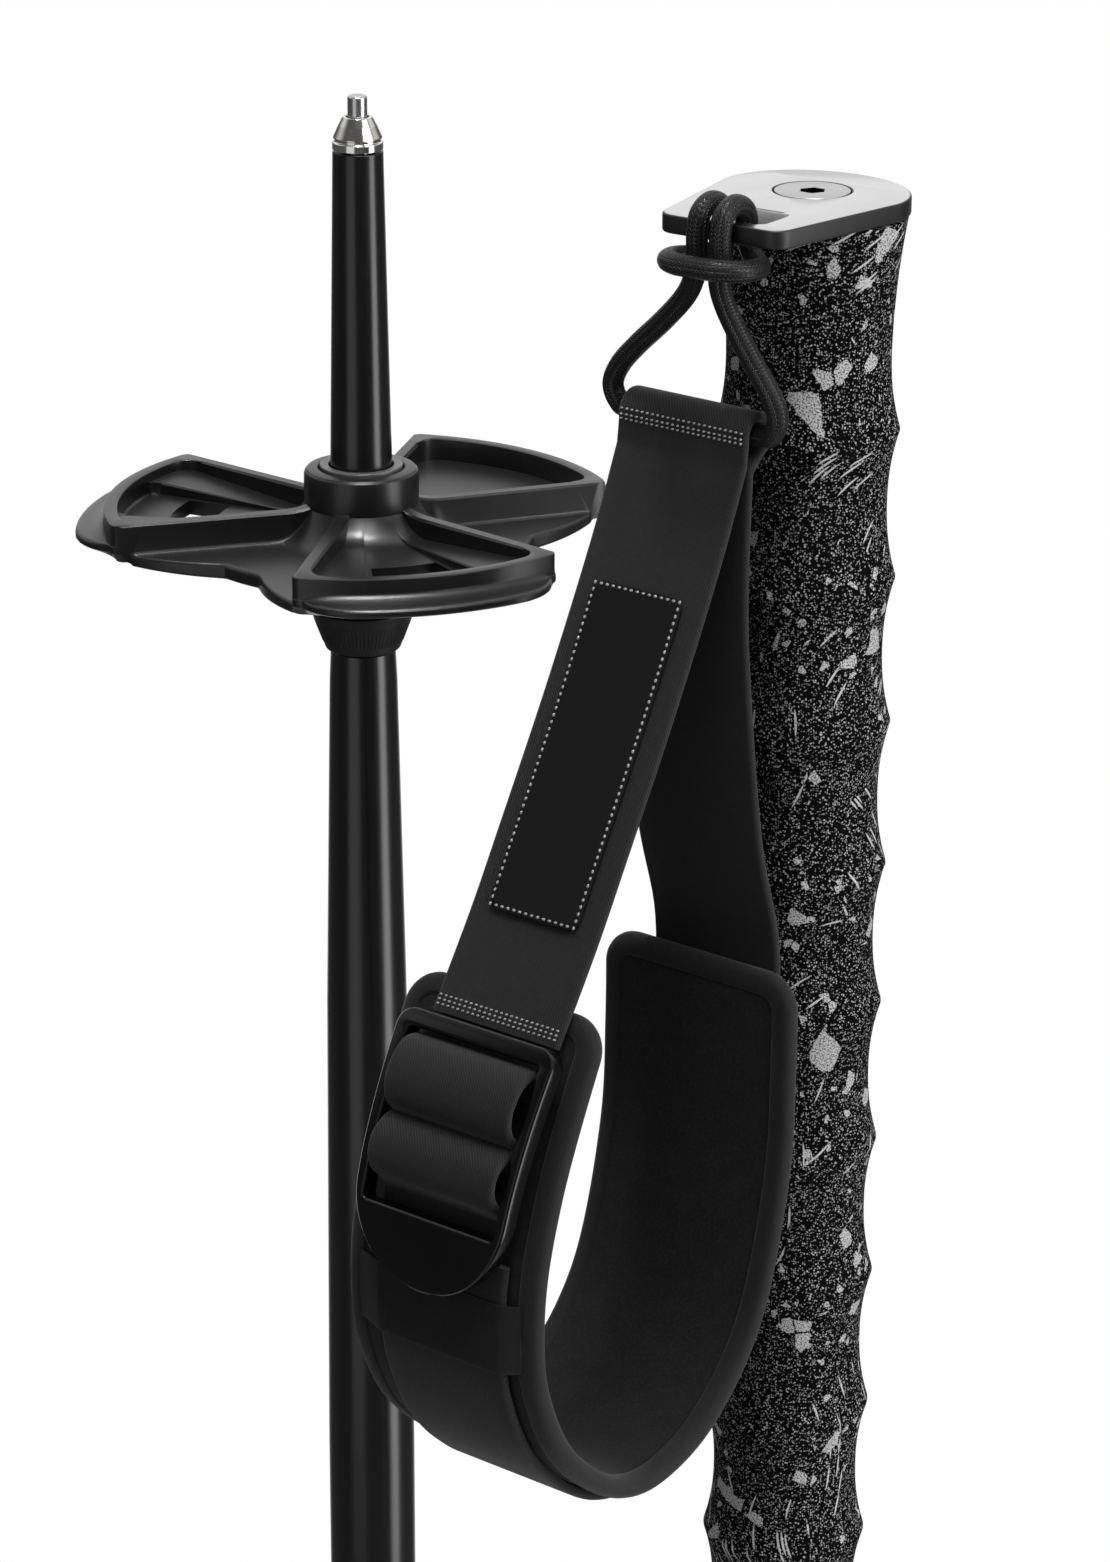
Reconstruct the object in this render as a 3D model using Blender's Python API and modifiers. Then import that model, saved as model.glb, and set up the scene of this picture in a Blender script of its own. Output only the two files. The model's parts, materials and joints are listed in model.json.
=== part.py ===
"""A pair of touring ski poles with long foam grips, cord-hung wrist straps and three-petal baskets.

The right pole stands grip up. The left pole is the same pole turned tip up beside it.
Metres, +Z up. The origin is on the right pole's axis, in the middle of its upper handhold.
A pole is modelled from its top plate (z = 0) down to its tip (z = -POLE_LENGTH).
"""
import math

import bmesh
import bpy
from mathutils import Matrix, Vector

MM = 0.001
CLEAR = 0.3 * MM

# The pair
POLE_LENGTH = 1200.0 * MM
HANDHOLD_DEPTH = 60.0 * MM
PAIR_OFFSET = Vector((-100.6 * MM, 15.0 * MM, 0.0))

# Shaft, a tapered tube
SHAFT_RADIUS = 8.0 * MM
SHAFT_WALL = 1.2 * MM
SHAFT_END_RADIUS = 5.75 * MM
SHAFT_TAPER = ((255.0 * MM, SHAFT_RADIUS), (166.0 * MM, 7.25 * MM), (104.6 * MM, 6.02 * MM))
ROUND_STEPS = 24
SMALL_STEPS = 18

# Foam grip with ring scallops
GRIP_LENGTH = 330.0 * MM
GRIP_TOP_RADIUS = 13.2 * MM
GRIP_END_RADIUS = 11.6 * MM
GRIP_FIRST_RIDGE = 34.9 * MM
GRIP_RIDGE_PITCH = 24.5 * MM
GRIP_RIDGE_HEIGHT = 1.7 * MM
GRIP_RIDGE_SHARPNESS = 2.2
GRIP_RIDGE_SHOULDER = 5.0 * MM
GRIP_FLARE_X = 2.4 * MM
GRIP_FLARE_Y = 0.7 * MM
GRIP_FLARE_DEPTH = 24.0 * MM
GRIP_SIDES = 18

# Top plate and its bolt
PLATE_THICKNESS = 3.0 * MM
PLATE_HALF_WIDTH = 16.0 * MM
PLATE_REAR = 14.0 * MM
PLATE_NOSE = 27.0 * MM
PLATE_NOSE_HALF_WIDTH = 11.6 * MM
PLATE_CORNER = 3.2 * MM
PLATE_BEVEL = 0.45 * MM
SLOT_HALF_LENGTH = 6.2 * MM
SLOT_WIDTH = 8.6 * MM
SLOT_CORNER = 1.6 * MM
BAR_WIDTH = 2.8 * MM
BOLT_HEAD_RADIUS = 6.0 * MM
BOLT_HEAD_THICKNESS = 1.6 * MM
BOLT_SHANK_RADIUS = 3.0 * MM
BOLT_LENGTH = 22.0 * MM
BOLT_HEX_RADIUS = 2.15 * MM
BOLT_HEX_DEPTH = 1.2 * MM
PLUG_LENGTH = 28.0 * MM

# Tip
PIN_RADIUS = 1.7 * MM
PIN_EXPOSED = 3.6 * MM
PIN_EDGE = 0.25 * MM
PIN_LENGTH = 13.0 * MM
FERRULE_TOP_RADIUS = 2.55 * MM
FERRULE_RADIUS = 4.43 * MM
FERRULE_CONE = 3.8 * MM
FERRULE_RIM = 1.8 * MM
FERRULE_STEM_RADIUS = 2.5 * MM
FERRULE_STEM = 10.0 * MM
SLEEVE_TOP_RADIUS = 4.38 * MM
SLEEVE_SEAT_RADIUS = 5.4 * MM
SPIGOT_LENGTH = 34.0 * MM

# Basket: places along the pole are measured from the tip
BASKET_PETALS = 3
BASKET_TURN = math.radians(-23.4)
BASKET_RADIUS = 50.0 * MM
HUB_TOP = 65.4 * MM
HUB_RADIUS = 10.05 * MM
HUB_BEVEL = 0.7 * MM
HUB_FLARE = ((5.0, 0.1), (2.4, 0.6), (0.5, 1.8))
HUB_SKIRT = 3.0 * MM
HUB_SKIRT_DROP = 0.5 * MM
HUB_NECK_LOW = 0.6 * MM
HUB_NECK_HIGH = 0.2 * MM
WALL_TOP = 72.0 * MM
WALL_RADIUS = 45.0 * MM
WALL_THICKNESS = 2.5 * MM
WALL_CORNER = 5.0 * MM
TRAY_CORNER = 4.0 * MM
WALL_HALF_ANGLE = math.radians(32.0)
WALL_ROOT = 0.4 * MM
WALL_OVERLAP = 0.05 * MM
LEDGE_PETALS = (0, 2)
LEDGE_START = 13.0 * MM
LEDGE_RISE = 0.3 * MM
LEDGE_SLOPE = 0.066
LEDGE_SUNK = 1.0 * MM
LEDGE_ROOT = 0.3 * MM
LEDGE_REACH = 0.6 * MM
WEB_TOP = 76.0 * MM
WEB_BOTTOM = 78.6 * MM
WEB_NOTCH_RADIUS = 32.4 * MM
WEB_RIM_INSET = 0.3 * MM
WEB_EDGE_INSET = 1.5 * MM
NOTCH_SHAPE = 1.5
LIP_TOP = 75.2 * MM
LIP_BOTTOM = 76.6 * MM
LIP_CORNER = 4.5 * MM
LIP_ROOT = 0.5 * MM
LIP_SPAN = 0.97
POCKET_HALF_ANGLE = math.radians(14.5)
OPENING_INNER = 26.0 * MM
OPENING_OUTER = 33.0 * MM
OPENING_HALF_ANGLE = math.radians(13.0)
OPENING_CORNER = 1.0 * MM
BOSS_BOTTOM = 90.5 * MM
BOSS_RADIUS = 10.0 * MM
BOSS_FLARE = 2.0 * MM
BOSS_FLARE_LIFT = 0.2 * MM
RING_RADIUS = 7.25 * MM
RING_THICKNESS = 1.3 * MM
RING_PROUD = 0.5 * MM
COLLAR_TOP_RADIUS = 9.9 * MM
COLLAR_END_RADIUS = 7.8 * MM
COLLAR_LENGTH = 7.6 * MM
COLLAR_SHOULDER = 2.0 * MM
COLLAR_RIM = 1.4 * MM
COLLAR_RIBS = 26
COLLAR_RIB_DEPTH = 0.25 * MM

# Wrist strap: the section is drawn in the pole's Y and Z, the width runs along X
CORD_RADIUS = 1.7 * MM
CORD_SLACK = 0.7 * MM
STRAP_YAW = math.radians(-4.0)
STRAP_X = -4.0 * MM
SLEEVE_Y = -26.5 * MM
SLEEVE_Z = -32.2 * MM
FREE_HANG = math.radians(17.5)
WEB_WIDTH = 25.0 * MM
WEB_THICKNESS = 1.5 * MM
WEB_SEAM = 0.2 * MM
WEB_THROAT = 2.6 * MM
WEB_END_Y = -60.0 * MM
WEB_END_Z = -152.5 * MM
PAD_X = -5.4 * MM
PAD_WIDTH = 38.0 * MM
PAD_THICKNESS = 3.2 * MM
PAD_CORNER = 6.0 * MM
PAD_SECTION = ((1.0, 0.35), (0.95, 0.8), (0.5, 0.97), (0.0, 1.0), (-0.5, 0.97), (-0.95, 0.8), (-1.0, 0.35))
LABEL_WIDTH = 17.5 * MM
LABEL_LENGTH = 53.5 * MM
LABEL_THICKNESS = 0.5 * MM
LABEL_START = 6.2 * MM
KEEPER_LENGTH = 11.0 * MM
KEEPER_THICKNESS = 0.8 * MM
KEEPER_Z = -162.0 * MM
KEEPER_FOOT = 3.0 * MM
KEEPER_EDGE = 1.8 * MM
BUCKLE_WIDTH = 31.0 * MM
BUCKLE_THICKNESS = 3.4 * MM
BUCKLE_RAIL = 2.6 * MM
BUCKLE_CORNER = 3.2 * MM
BUCKLE_WINDOW_CORNER = 0.5 * MM
BUCKLE_TOP_RAIL = 3.0 * MM
BUCKLE_WINDOW = 25.6 * MM
BUCKLE_BAR_RADIUS = 1.6 * MM
BUCKLE_BARS = (10.3 * MM, 21.6 * MM)
BUCKLE_TAB_INSET = 0.6 * MM
BUCKLE_TAB_TRIM = 0.3 * MM
BUCKLE_STAMP_DEPTH = 60.0 * MM

BAR_Y = -PLATE_NOSE + BAR_WIDTH / 2
BAR_Z = -PLATE_THICKNESS / 2

# The pad's middle line, from its front top end round the wrist to its back top end
PAD_LINE = (
    (-69.0, -114.6), (-70.6, -117.4), (-76.8, -130.0), (-81.0, -140.0), (-84.2, -151.0),
    (-85.2, -161.0), (-84.2, -171.0), (-79.6, -182.0), (-72.8, -190.0), (-63.5, -196.4),
    (-53.0, -197.6), (-40.5, -192.6), (-29.0, -179.5), (-22.4, -157.0), (-21.2, -138.0),
    (-21.2, -122.5),
)
# The webbing's front leg from behind the buckle up to the sewn sleeve, and its back leg down to the pad
FRONT_LEG = ((-72.9, -115.2), (-66.2, -105.0), (-59.7, -94.0), (-47.4, -72.5), (-36.2, -51.0))
BACK_LEG = ((-28.9, -58.0), (-27.6, -75.0), (-24.0, -100.0), (-19.2, -117.0))
# The buckle's middle line, and the webbing that waves over its two bars (along the buckle, off it)
BUCKLE_LINE = ((-77.4, -117.2), (-83.2, -127.5), (-88.0, -138.5), (-91.0, -149.5), (-91.8, -156.0))
ROLL_LINE = (
    (0.7, -2.9), (3.6, -2.8), (5.4, -0.8), (6.4, 1.6), (8.6, 3.2), (11.6, 3.5), (14.2, 2.2),
    (16.0, -0.6), (17.8, 1.4), (20.2, 3.0), (23.0, 2.9), (25.0, 1.4), (26.2, -0.8), (27.6, -2.5),
    (30.5, -3.0),
)


def purge_scene():
    for item in list(bpy.data.objects):
        bpy.data.objects.remove(item, do_unlink=True)


def new_collection(name):
    group = bpy.data.collections.new(name)
    bpy.context.scene.collection.children.link(group)
    return group


purge_scene()
PARTS = new_collection("ski_poles")
CUTTERS = new_collection("cutters")


def finish(name, colour, roughness, metallic=0.0):
    """One Principled material, made once for each kind of sub-part."""
    material = bpy.data.materials.get(name)
    if material is None:
        material = bpy.data.materials.new(name)
        material.use_nodes = True
        shader = material.node_tree.nodes["Principled BSDF"]
        shader.inputs["Base Color"].default_value = (*colour, 1.0)
        shader.inputs["Roughness"].default_value = roughness
        shader.inputs["Metallic"].default_value = metallic
        material.diffuse_color = (*colour, 1.0)
    return material


def add_object(name, mesh, parent, material=None, location=(0.0, 0.0, 0.0)):
    item = bpy.data.objects.new(name, mesh)
    PARTS.objects.link(item)
    item.parent = parent
    item.location = location
    if material:
        mesh.materials.append(material)
    return item


def add_empty(name, parent=None, location=(0.0, 0.0, 0.0), turn=(0.0, 0.0, 0.0)):
    item = bpy.data.objects.new(name, None)
    PARTS.objects.link(item)
    item.parent = parent
    item.location = location
    item.rotation_euler = turn
    return item


def set_aside(item):
    """Marks a shape as an operand: it is cut or joined into a part and isn't a part itself."""
    PARTS.objects.unlink(item)
    CUTTERS.objects.link(item)
    item.hide_render = True
    item.display_type = "WIRE"
    return item


def combine(item, operand, operation):
    step = item.modifiers.new(operation.lower(), "BOOLEAN")
    step.operation = operation
    step.object = set_aside(operand)


def round_edges(item, width, segments=2, angle=40.0):
    step = item.modifiers.new("rounded edges", "BEVEL")
    step.width = width
    step.segments = segments
    step.limit_method = "ANGLE"
    step.angle_limit = math.radians(angle)


def smooth_shade(mesh, angle=35.0):
    mesh.shade_smooth()
    mesh.set_sharp_from_angle(angle=math.radians(angle))


def mesh_from(name, shape):
    """Closes a bmesh's seams, turns its faces outwards and keeps it as a mesh."""
    bmesh.ops.remove_doubles(shape, verts=shape.verts, dist=1e-7)
    bmesh.ops.recalc_face_normals(shape, faces=shape.faces)
    mesh = bpy.data.meshes.new(name)
    shape.to_mesh(mesh)
    shape.free()
    smooth_shade(mesh)
    return mesh


def turned(name, profile, parent, material=None, steps=ROUND_STEPS):
    """A lathe shape from (radius, height) points that run down the outside and back up the bore."""
    mesh = bpy.data.meshes.new(name)
    on_axis = profile[0][0] == 0.0
    edges = [(i, i + 1) for i in range(len(profile) - 1)]
    if not on_axis:
        edges.append((len(profile) - 1, 0))
    mesh.from_pydata([(r, 0.0, z) for r, z in profile], edges, [])
    item = add_object(name, mesh, parent, material)
    spin = item.modifiers.new("turn", "SCREW")
    spin.steps = steps
    spin.render_steps = steps
    spin.use_merge_vertices = True
    spin.merge_threshold = 1e-6
    return item


def flat_shape(name, outlines, thickness):
    """A flat sheet from closed outlines, where inner ones are holes, as a mesh centred on its own plane."""
    curve = bpy.data.curves.new(name, "CURVE")
    curve.dimensions = "2D"
    curve.fill_mode = "BOTH"
    curve.extrude = thickness / 2
    for outline in outlines:
        spline = curve.splines.new("POLY")
        spline.points.add(len(outline) - 1)
        for point, (u, v) in zip(spline.points, outline):
            point.co = (u, v, 0.0, 1.0)
        spline.use_cyclic_u = True
    guide = bpy.data.objects.new(name, curve)
    PARTS.objects.link(guide)
    graph = bpy.context.evaluated_depsgraph_get()
    mesh = bpy.data.meshes.new_from_object(guide.evaluated_get(graph))
    bpy.data.objects.remove(guide, do_unlink=True)
    shape = bmesh.new()
    shape.from_mesh(mesh)
    bpy.data.meshes.remove(mesh)
    return mesh_from(name, shape)


def arc(centre, radius, start, end, count):
    turn = (end - start) / (count - 1)
    return [
        (centre[0] + radius * math.cos(start + i * turn), centre[1] + radius * math.sin(start + i * turn))
        for i in range(count)
    ]


def smooth_line(points, spans=4):
    """Points on a smooth curve that passes through the given ones."""
    knots = [Vector(p) for p in points]
    line = []
    for i in range(len(knots) - 1):
        before = knots[max(i - 1, 0)]
        here = knots[i]
        after = knots[i + 1]
        beyond = knots[min(i + 2, len(knots) - 1)]
        for step in range(spans):
            t = step / spans
            line.append(0.5 * (
                2 * here + (after - before) * t
                + (2 * before - 5 * here + 4 * after - beyond) * t ** 2
                + (3 * here - before - 3 * after + beyond) * t ** 3
            ))
    line.append(knots[-1])
    return line


def side_step(line, distance):
    """A line moved to its own left by a distance, point by point."""
    moved = []
    for i, point in enumerate(line):
        run = (line[min(i + 1, len(line) - 1)] - line[max(i - 1, 0)]).normalized()
        moved.append(point + Vector((-run.y, run.x)) * distance)
    return moved


def walk(line, distance):
    """The place a given distance along a line."""
    for here, after in zip(line, line[1:]):
        step = (after - here).length
        if distance <= step:
            return here + (after - here) * (distance / step)
        distance -= step
    return line[-1]


def in_metres(points):
    return [Vector(p) * MM for p in points]


def band(name, line, thickness, width):
    """A strip of webbing: a line in Y and Z with a thickness, drawn out along X."""
    outline = side_step(line, thickness / 2) + side_step(line, -thickness / 2)[::-1]
    mesh = flat_shape(name, [outline], width)
    mesh.transform(Matrix(((0, 0, 1, STRAP_X), (1, 0, 0, 0), (0, 1, 0, 0), (0, 0, 0, 1))))
    return mesh


def loft(name, rings, closed=False):
    """Skins rings of equal count in order. A closed loft joins its last ring to its first."""
    shape = bmesh.new()
    rows = [[shape.verts.new(p) for p in ring] for ring in rings]
    count = len(rings[0])
    pairs = list(zip(rows, rows[1:] + rows[:1])) if closed else list(zip(rows, rows[1:]))
    for lower, upper in pairs:
        for i in range(count):
            j = (i + 1) % count
            shape.faces.new((lower[i], lower[j], upper[j], upper[i]))
    if not closed:
        shape.faces.new(rows[0])
        shape.faces.new(rows[-1])
    return mesh_from(name, shape)


def tip_z(distance):
    """Height of a place given by its distance from the tip."""
    return distance - POLE_LENGTH


def grip_foam(prefix, pole):
    top = -PLATE_THICKNESS - CLEAR
    bore = SHAFT_RADIUS + CLEAR
    stations = [GRIP_FLARE_DEPTH * share for share in (0.0, 0.17, 0.37, 0.67, 1.0)]
    ridge = GRIP_FIRST_RIDGE
    while ridge < GRIP_LENGTH - GRIP_RIDGE_PITCH / 2:
        stations += [ridge - GRIP_RIDGE_SHOULDER, ridge, ridge + GRIP_RIDGE_SHOULDER]
        stations.append(ridge + GRIP_RIDGE_PITCH / 2)
        ridge += GRIP_RIDGE_PITCH
    stations.append(GRIP_LENGTH)

    def ring(depth):
        share = depth / GRIP_LENGTH
        radius = GRIP_TOP_RADIUS + (GRIP_END_RADIUS - GRIP_TOP_RADIUS) * share
        off_ridge = abs((depth - GRIP_FIRST_RIDGE) / GRIP_RIDGE_PITCH % 1.0 - 0.5)
        ridged = GRIP_FIRST_RIDGE - GRIP_RIDGE_PITCH / 2 < depth < GRIP_LENGTH
        lift = GRIP_RIDGE_HEIGHT * (2 * off_ridge) ** GRIP_RIDGE_SHARPNESS if ridged else 0.0
        flare = max(0.0, 1.0 - depth / GRIP_FLARE_DEPTH) ** 2
        across = radius + lift + GRIP_FLARE_X * flare
        along = radius + lift + GRIP_FLARE_Y * flare
        angles = [2 * math.pi * i / GRIP_SIDES for i in range(GRIP_SIDES)]
        return [(across * math.cos(a), along * math.sin(a), top - depth) for a in angles]

    def bore_ring(depth):
        angles = [2 * math.pi * i / GRIP_SIDES for i in range(GRIP_SIDES)]
        return [(bore * math.cos(a), bore * math.sin(a), top - depth) for a in angles]

    rings = [bore_ring(0.0)] + [ring(d) for d in stations] + [bore_ring(GRIP_LENGTH)]
    mesh = loft(prefix + "grip_foam", rings, closed=True)
    add_object(prefix + "grip_foam", mesh, pole, finish("speckled foam", (0.03, 0.03, 0.032), 0.9))


def plate_outline():
    """Half-elliptical rear, sides that draw in towards a flat nose with rounded corners."""
    rear = [
        (PLATE_HALF_WIDTH * math.cos(a), PLATE_REAR * math.sin(a))
        for a in [math.pi * i / 16 for i in range(17)]
    ]
    nose_x = PLATE_NOSE_HALF_WIDTH - PLATE_CORNER
    nose_y = -PLATE_NOSE + PLATE_CORNER
    left = arc((-nose_x, nose_y), PLATE_CORNER, math.radians(192), math.radians(270), 5)
    right = arc((nose_x, nose_y), PLATE_CORNER, math.radians(270), math.radians(348), 5)
    return rear + left + right


def slot_outline():
    front = -PLATE_NOSE + BAR_WIDTH
    rear = front + SLOT_WIDTH
    x = SLOT_HALF_LENGTH - SLOT_CORNER
    corners = ((x, rear - SLOT_CORNER, 0), (-x, rear - SLOT_CORNER, 90))
    corners += ((-x, front + SLOT_CORNER, 180), (x, front + SLOT_CORNER, 270))
    outline = []
    for cx, cy, start in corners:
        outline += arc((cx, cy), SLOT_CORNER, math.radians(start), math.radians(start + 90), 4)
    return outline


def top_plate(prefix, pole):
    mesh = flat_shape(prefix + "top_plate", [plate_outline(), slot_outline()], PLATE_THICKNESS)
    mesh.transform(Matrix.Translation((0.0, 0.0, -PLATE_THICKNESS / 2)))
    anodised = finish("anodised plate", (0.62, 0.62, 0.63), 0.35, 1.0)
    plate = add_object(prefix + "top_plate", mesh, pole, anodised)
    round_edges(plate, PLATE_BEVEL, segments=1)
    head = BOLT_HEAD_RADIUS + CLEAR
    shank = BOLT_SHANK_RADIUS + CLEAR
    step = -BOLT_HEAD_THICKNESS - CLEAR
    seat = [(0.0, PLATE_THICKNESS), (head, PLATE_THICKNESS), (head, step), (shank, step)]
    seat += [(shank, -2 * PLATE_THICKNESS), (0.0, -2 * PLATE_THICKNESS)]
    combine(plate, turned(prefix + "bolt_seat_cutter", seat, pole), "DIFFERENCE")


def plate_bolt(prefix, pole):
    head, shank = BOLT_HEAD_RADIUS, BOLT_SHANK_RADIUS
    under = -BOLT_HEAD_THICKNESS
    profile = [(0.0, 0.0), (head, 0.0), (head, under), (shank, under)]
    profile += [(shank, -BOLT_LENGTH), (0.0, -BOLT_LENGTH)]
    bolt = turned(prefix + "plate_bolt", profile, pole, finish("bolt steel", (0.45, 0.45, 0.46), 0.4, 1.0))
    shape = bmesh.new()
    bmesh.ops.create_cone(
        shape, cap_ends=True, segments=6, depth=2 * BOLT_HEX_DEPTH,
        radius1=BOLT_HEX_RADIUS, radius2=BOLT_HEX_RADIUS,
    )
    hexagon = add_object(prefix + "hex_cutter", mesh_from(prefix + "hex_cutter", shape), pole)
    combine(bolt, hexagon, "DIFFERENCE")


def shaft_plug(prefix, pole):
    top = -PLATE_THICKNESS - CLEAR
    outer = SHAFT_RADIUS - SHAFT_WALL - CLEAR
    bore = BOLT_SHANK_RADIUS + CLEAR
    profile = [(outer, top), (outer, top - PLUG_LENGTH), (bore, top - PLUG_LENGTH), (bore, top)]
    alloy = finish("plug alloy", (0.5, 0.5, 0.5), 0.5, 1.0)
    turned(prefix + "shaft_plug", profile, pole, alloy, SMALL_STEPS)


def collar_end():
    return BOSS_BOTTOM + CLEAR + COLLAR_LENGTH


def shaft(prefix, pole):
    outer = [(SHAFT_RADIUS, -PLATE_THICKNESS - CLEAR)]
    outer += [(radius, tip_z(distance)) for distance, radius in SHAFT_TAPER]
    outer.append((SHAFT_END_RADIUS, tip_z(collar_end() + CLEAR)))
    inner = [(radius - SHAFT_WALL, z) for radius, z in reversed(outer)]
    turned(prefix + "shaft", outer + inner, pole, finish("shaft lacquer", (0.03, 0.03, 0.032), 0.35))


def ferrule_end():
    return PIN_EXPOSED + FERRULE_CONE + FERRULE_RIM


def tip_sleeve(prefix, pole):
    start = ferrule_end() + CLEAR
    seat_start = HUB_TOP - RING_PROUD - CLEAR
    bore = FERRULE_STEM_RADIUS + CLEAR
    bore_end = ferrule_end() + FERRULE_STEM + CLEAR
    spigot = SHAFT_END_RADIUS - SHAFT_WALL - CLEAR
    shoulder = collar_end()
    profile = [
        (0.0, tip_z(shoulder + SPIGOT_LENGTH)), (spigot, tip_z(shoulder + SPIGOT_LENGTH)),
        (spigot, tip_z(shoulder)), (SLEEVE_SEAT_RADIUS, tip_z(shoulder)),
        (SLEEVE_SEAT_RADIUS, tip_z(seat_start)), (SLEEVE_TOP_RADIUS, tip_z(start)),
        (bore, tip_z(start)), (bore, tip_z(bore_end)), (0.0, tip_z(bore_end)),
    ]
    black = finish("sleeve black", (0.025, 0.025, 0.027), 0.3)
    turned(prefix + "tip_sleeve", profile, pole, black, SMALL_STEPS)


def tip_ferrule(prefix, pole):
    bore = PIN_RADIUS + CLEAR
    rim_start = PIN_EXPOSED + FERRULE_CONE
    stem_end = ferrule_end() + FERRULE_STEM
    profile = [
        (FERRULE_STEM_RADIUS, tip_z(stem_end)), (FERRULE_STEM_RADIUS, tip_z(ferrule_end())),
        (FERRULE_RADIUS, tip_z(ferrule_end())), (FERRULE_RADIUS, tip_z(rim_start)),
        (FERRULE_TOP_RADIUS, tip_z(PIN_EXPOSED)), (bore, tip_z(PIN_EXPOSED)), (bore, tip_z(stem_end)),
    ]
    nickel = finish("ferrule nickel", (0.78, 0.76, 0.72), 0.12, 1.0)
    turned(prefix + "tip_ferrule", profile, pole, nickel, SMALL_STEPS)


def carbide_pin(prefix, pole):
    profile = [
        (0.0, tip_z(PIN_LENGTH)), (PIN_RADIUS, tip_z(PIN_LENGTH)), (PIN_RADIUS, tip_z(PIN_EDGE)),
        (PIN_RADIUS - PIN_EDGE, tip_z(0.0)), (0.0, tip_z(0.0)),
    ]
    carbide = finish("carbide", (0.6, 0.6, 0.6), 0.2, 1.0)
    turned(prefix + "carbide_pin", profile, pole, carbide, SMALL_STEPS)


def sector(inner, outer, half_angle, middle, corner, count=7):
    """A fan-shaped outline about the pole's axis, with its two outer corners rounded off."""
    cut = corner / outer
    shoulder = 0.3
    start = [(inner, -half_angle), (outer - corner, -half_angle)]
    start.append((outer - corner * shoulder, -half_angle + cut * shoulder))
    span = 2 * half_angle - 2 * cut
    rim = [(outer, -half_angle + cut + span * i / (count - 1)) for i in range(count)]
    fan = start + rim + [(r, -angle) for r, angle in reversed(start)]
    return [(r * math.cos(middle + a), r * math.sin(middle + a)) for r, a in fan]


def web_outline():
    """The basket's lower plate: out to the wall under each petal, a deep concave notch between petals."""
    outline = []
    pitch = 2 * math.pi / BASKET_PETALS
    gap = pitch / 2 - WALL_HALF_ANGLE
    rim = WALL_RADIUS - WEB_RIM_INSET
    edge_radius = WALL_RADIUS - WEB_EDGE_INSET
    for petal in range(BASKET_PETALS):
        middle = BASKET_TURN + petal * pitch
        for i in range(9):
            angle = middle + WALL_HALF_ANGLE * 0.93 * (i / 4 - 1)
            outline.append((rim * math.cos(angle), rim * math.sin(angle)))
        for i in range(9):
            across = i / 4 - 1
            radius = WEB_NOTCH_RADIUS + (edge_radius - WEB_NOTCH_RADIUS) * abs(across) ** NOTCH_SHAPE
            angle = middle + pitch / 2 + gap * across
            outline.append((radius * math.cos(angle), radius * math.sin(angle)))
    return outline


def basket_layer(name, spin, outlines, top, bottom):
    mesh = flat_shape(name, outlines, bottom - top)
    mesh.transform(Matrix.Translation((0.0, 0.0, tip_z((top + bottom) / 2))))
    return add_object(name, mesh, spin)


def ledge(name, spin, middle, half_angle, inner, outer):
    """A ledge beside a petal's pocket: its upper side is a flat ramp that drops towards the hub."""
    mesh = flat_shape(name, [sector(inner, outer, half_angle, middle, TRAY_CORNER / 2, 5)], 2 * LEDGE_SUNK)
    mesh.transform(Matrix.Translation((0.0, 0.0, tip_z(WEB_TOP))))
    lead = Vector((math.cos(middle), math.sin(middle), 0.0))
    for corner in mesh.vertices:
        if corner.co.z < tip_z(WEB_TOP):
            rise = LEDGE_RISE + LEDGE_SLOPE * (corner.co.dot(lead) - LEDGE_START)
            corner.co.z = tip_z(WEB_TOP - rise)
    return add_object(name, mesh, spin)


def basket_hub(prefix, spin):
    """The hub with its ring recess, the flare under it and the boss that runs down to the collar."""
    bore = SLEEVE_SEAT_RADIUS + CLEAR
    recess = RING_RADIUS + CLEAR
    recess_floor = HUB_TOP - RING_PROUD + RING_THICKNESS + CLEAR
    profile = [
        (BOSS_RADIUS, BOSS_BOTTOM), (BOSS_RADIUS + BOSS_FLARE, WEB_BOTTOM - BOSS_FLARE_LIFT),
        (HUB_RADIUS + HUB_SKIRT, WEB_TOP + HUB_SKIRT_DROP),
    ]
    profile += [(HUB_RADIUS + out * MM, WEB_TOP - up * MM) for out, up in HUB_FLARE]
    profile += [
        (HUB_RADIUS - HUB_BEVEL, WALL_TOP + HUB_NECK_LOW), (HUB_RADIUS, WALL_TOP + HUB_NECK_HIGH),
        (HUB_RADIUS, HUB_TOP + HUB_BEVEL), (HUB_RADIUS - HUB_BEVEL, HUB_TOP), (recess, HUB_TOP),
        (recess, recess_floor), (bore, recess_floor), (bore, BOSS_BOTTOM),
    ]
    lathe = [(radius, tip_z(distance)) for radius, distance in profile]
    return turned(prefix + "basket", lathe, spin, finish("basket plastic", (0.05, 0.05, 0.052), 0.45))


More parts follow.
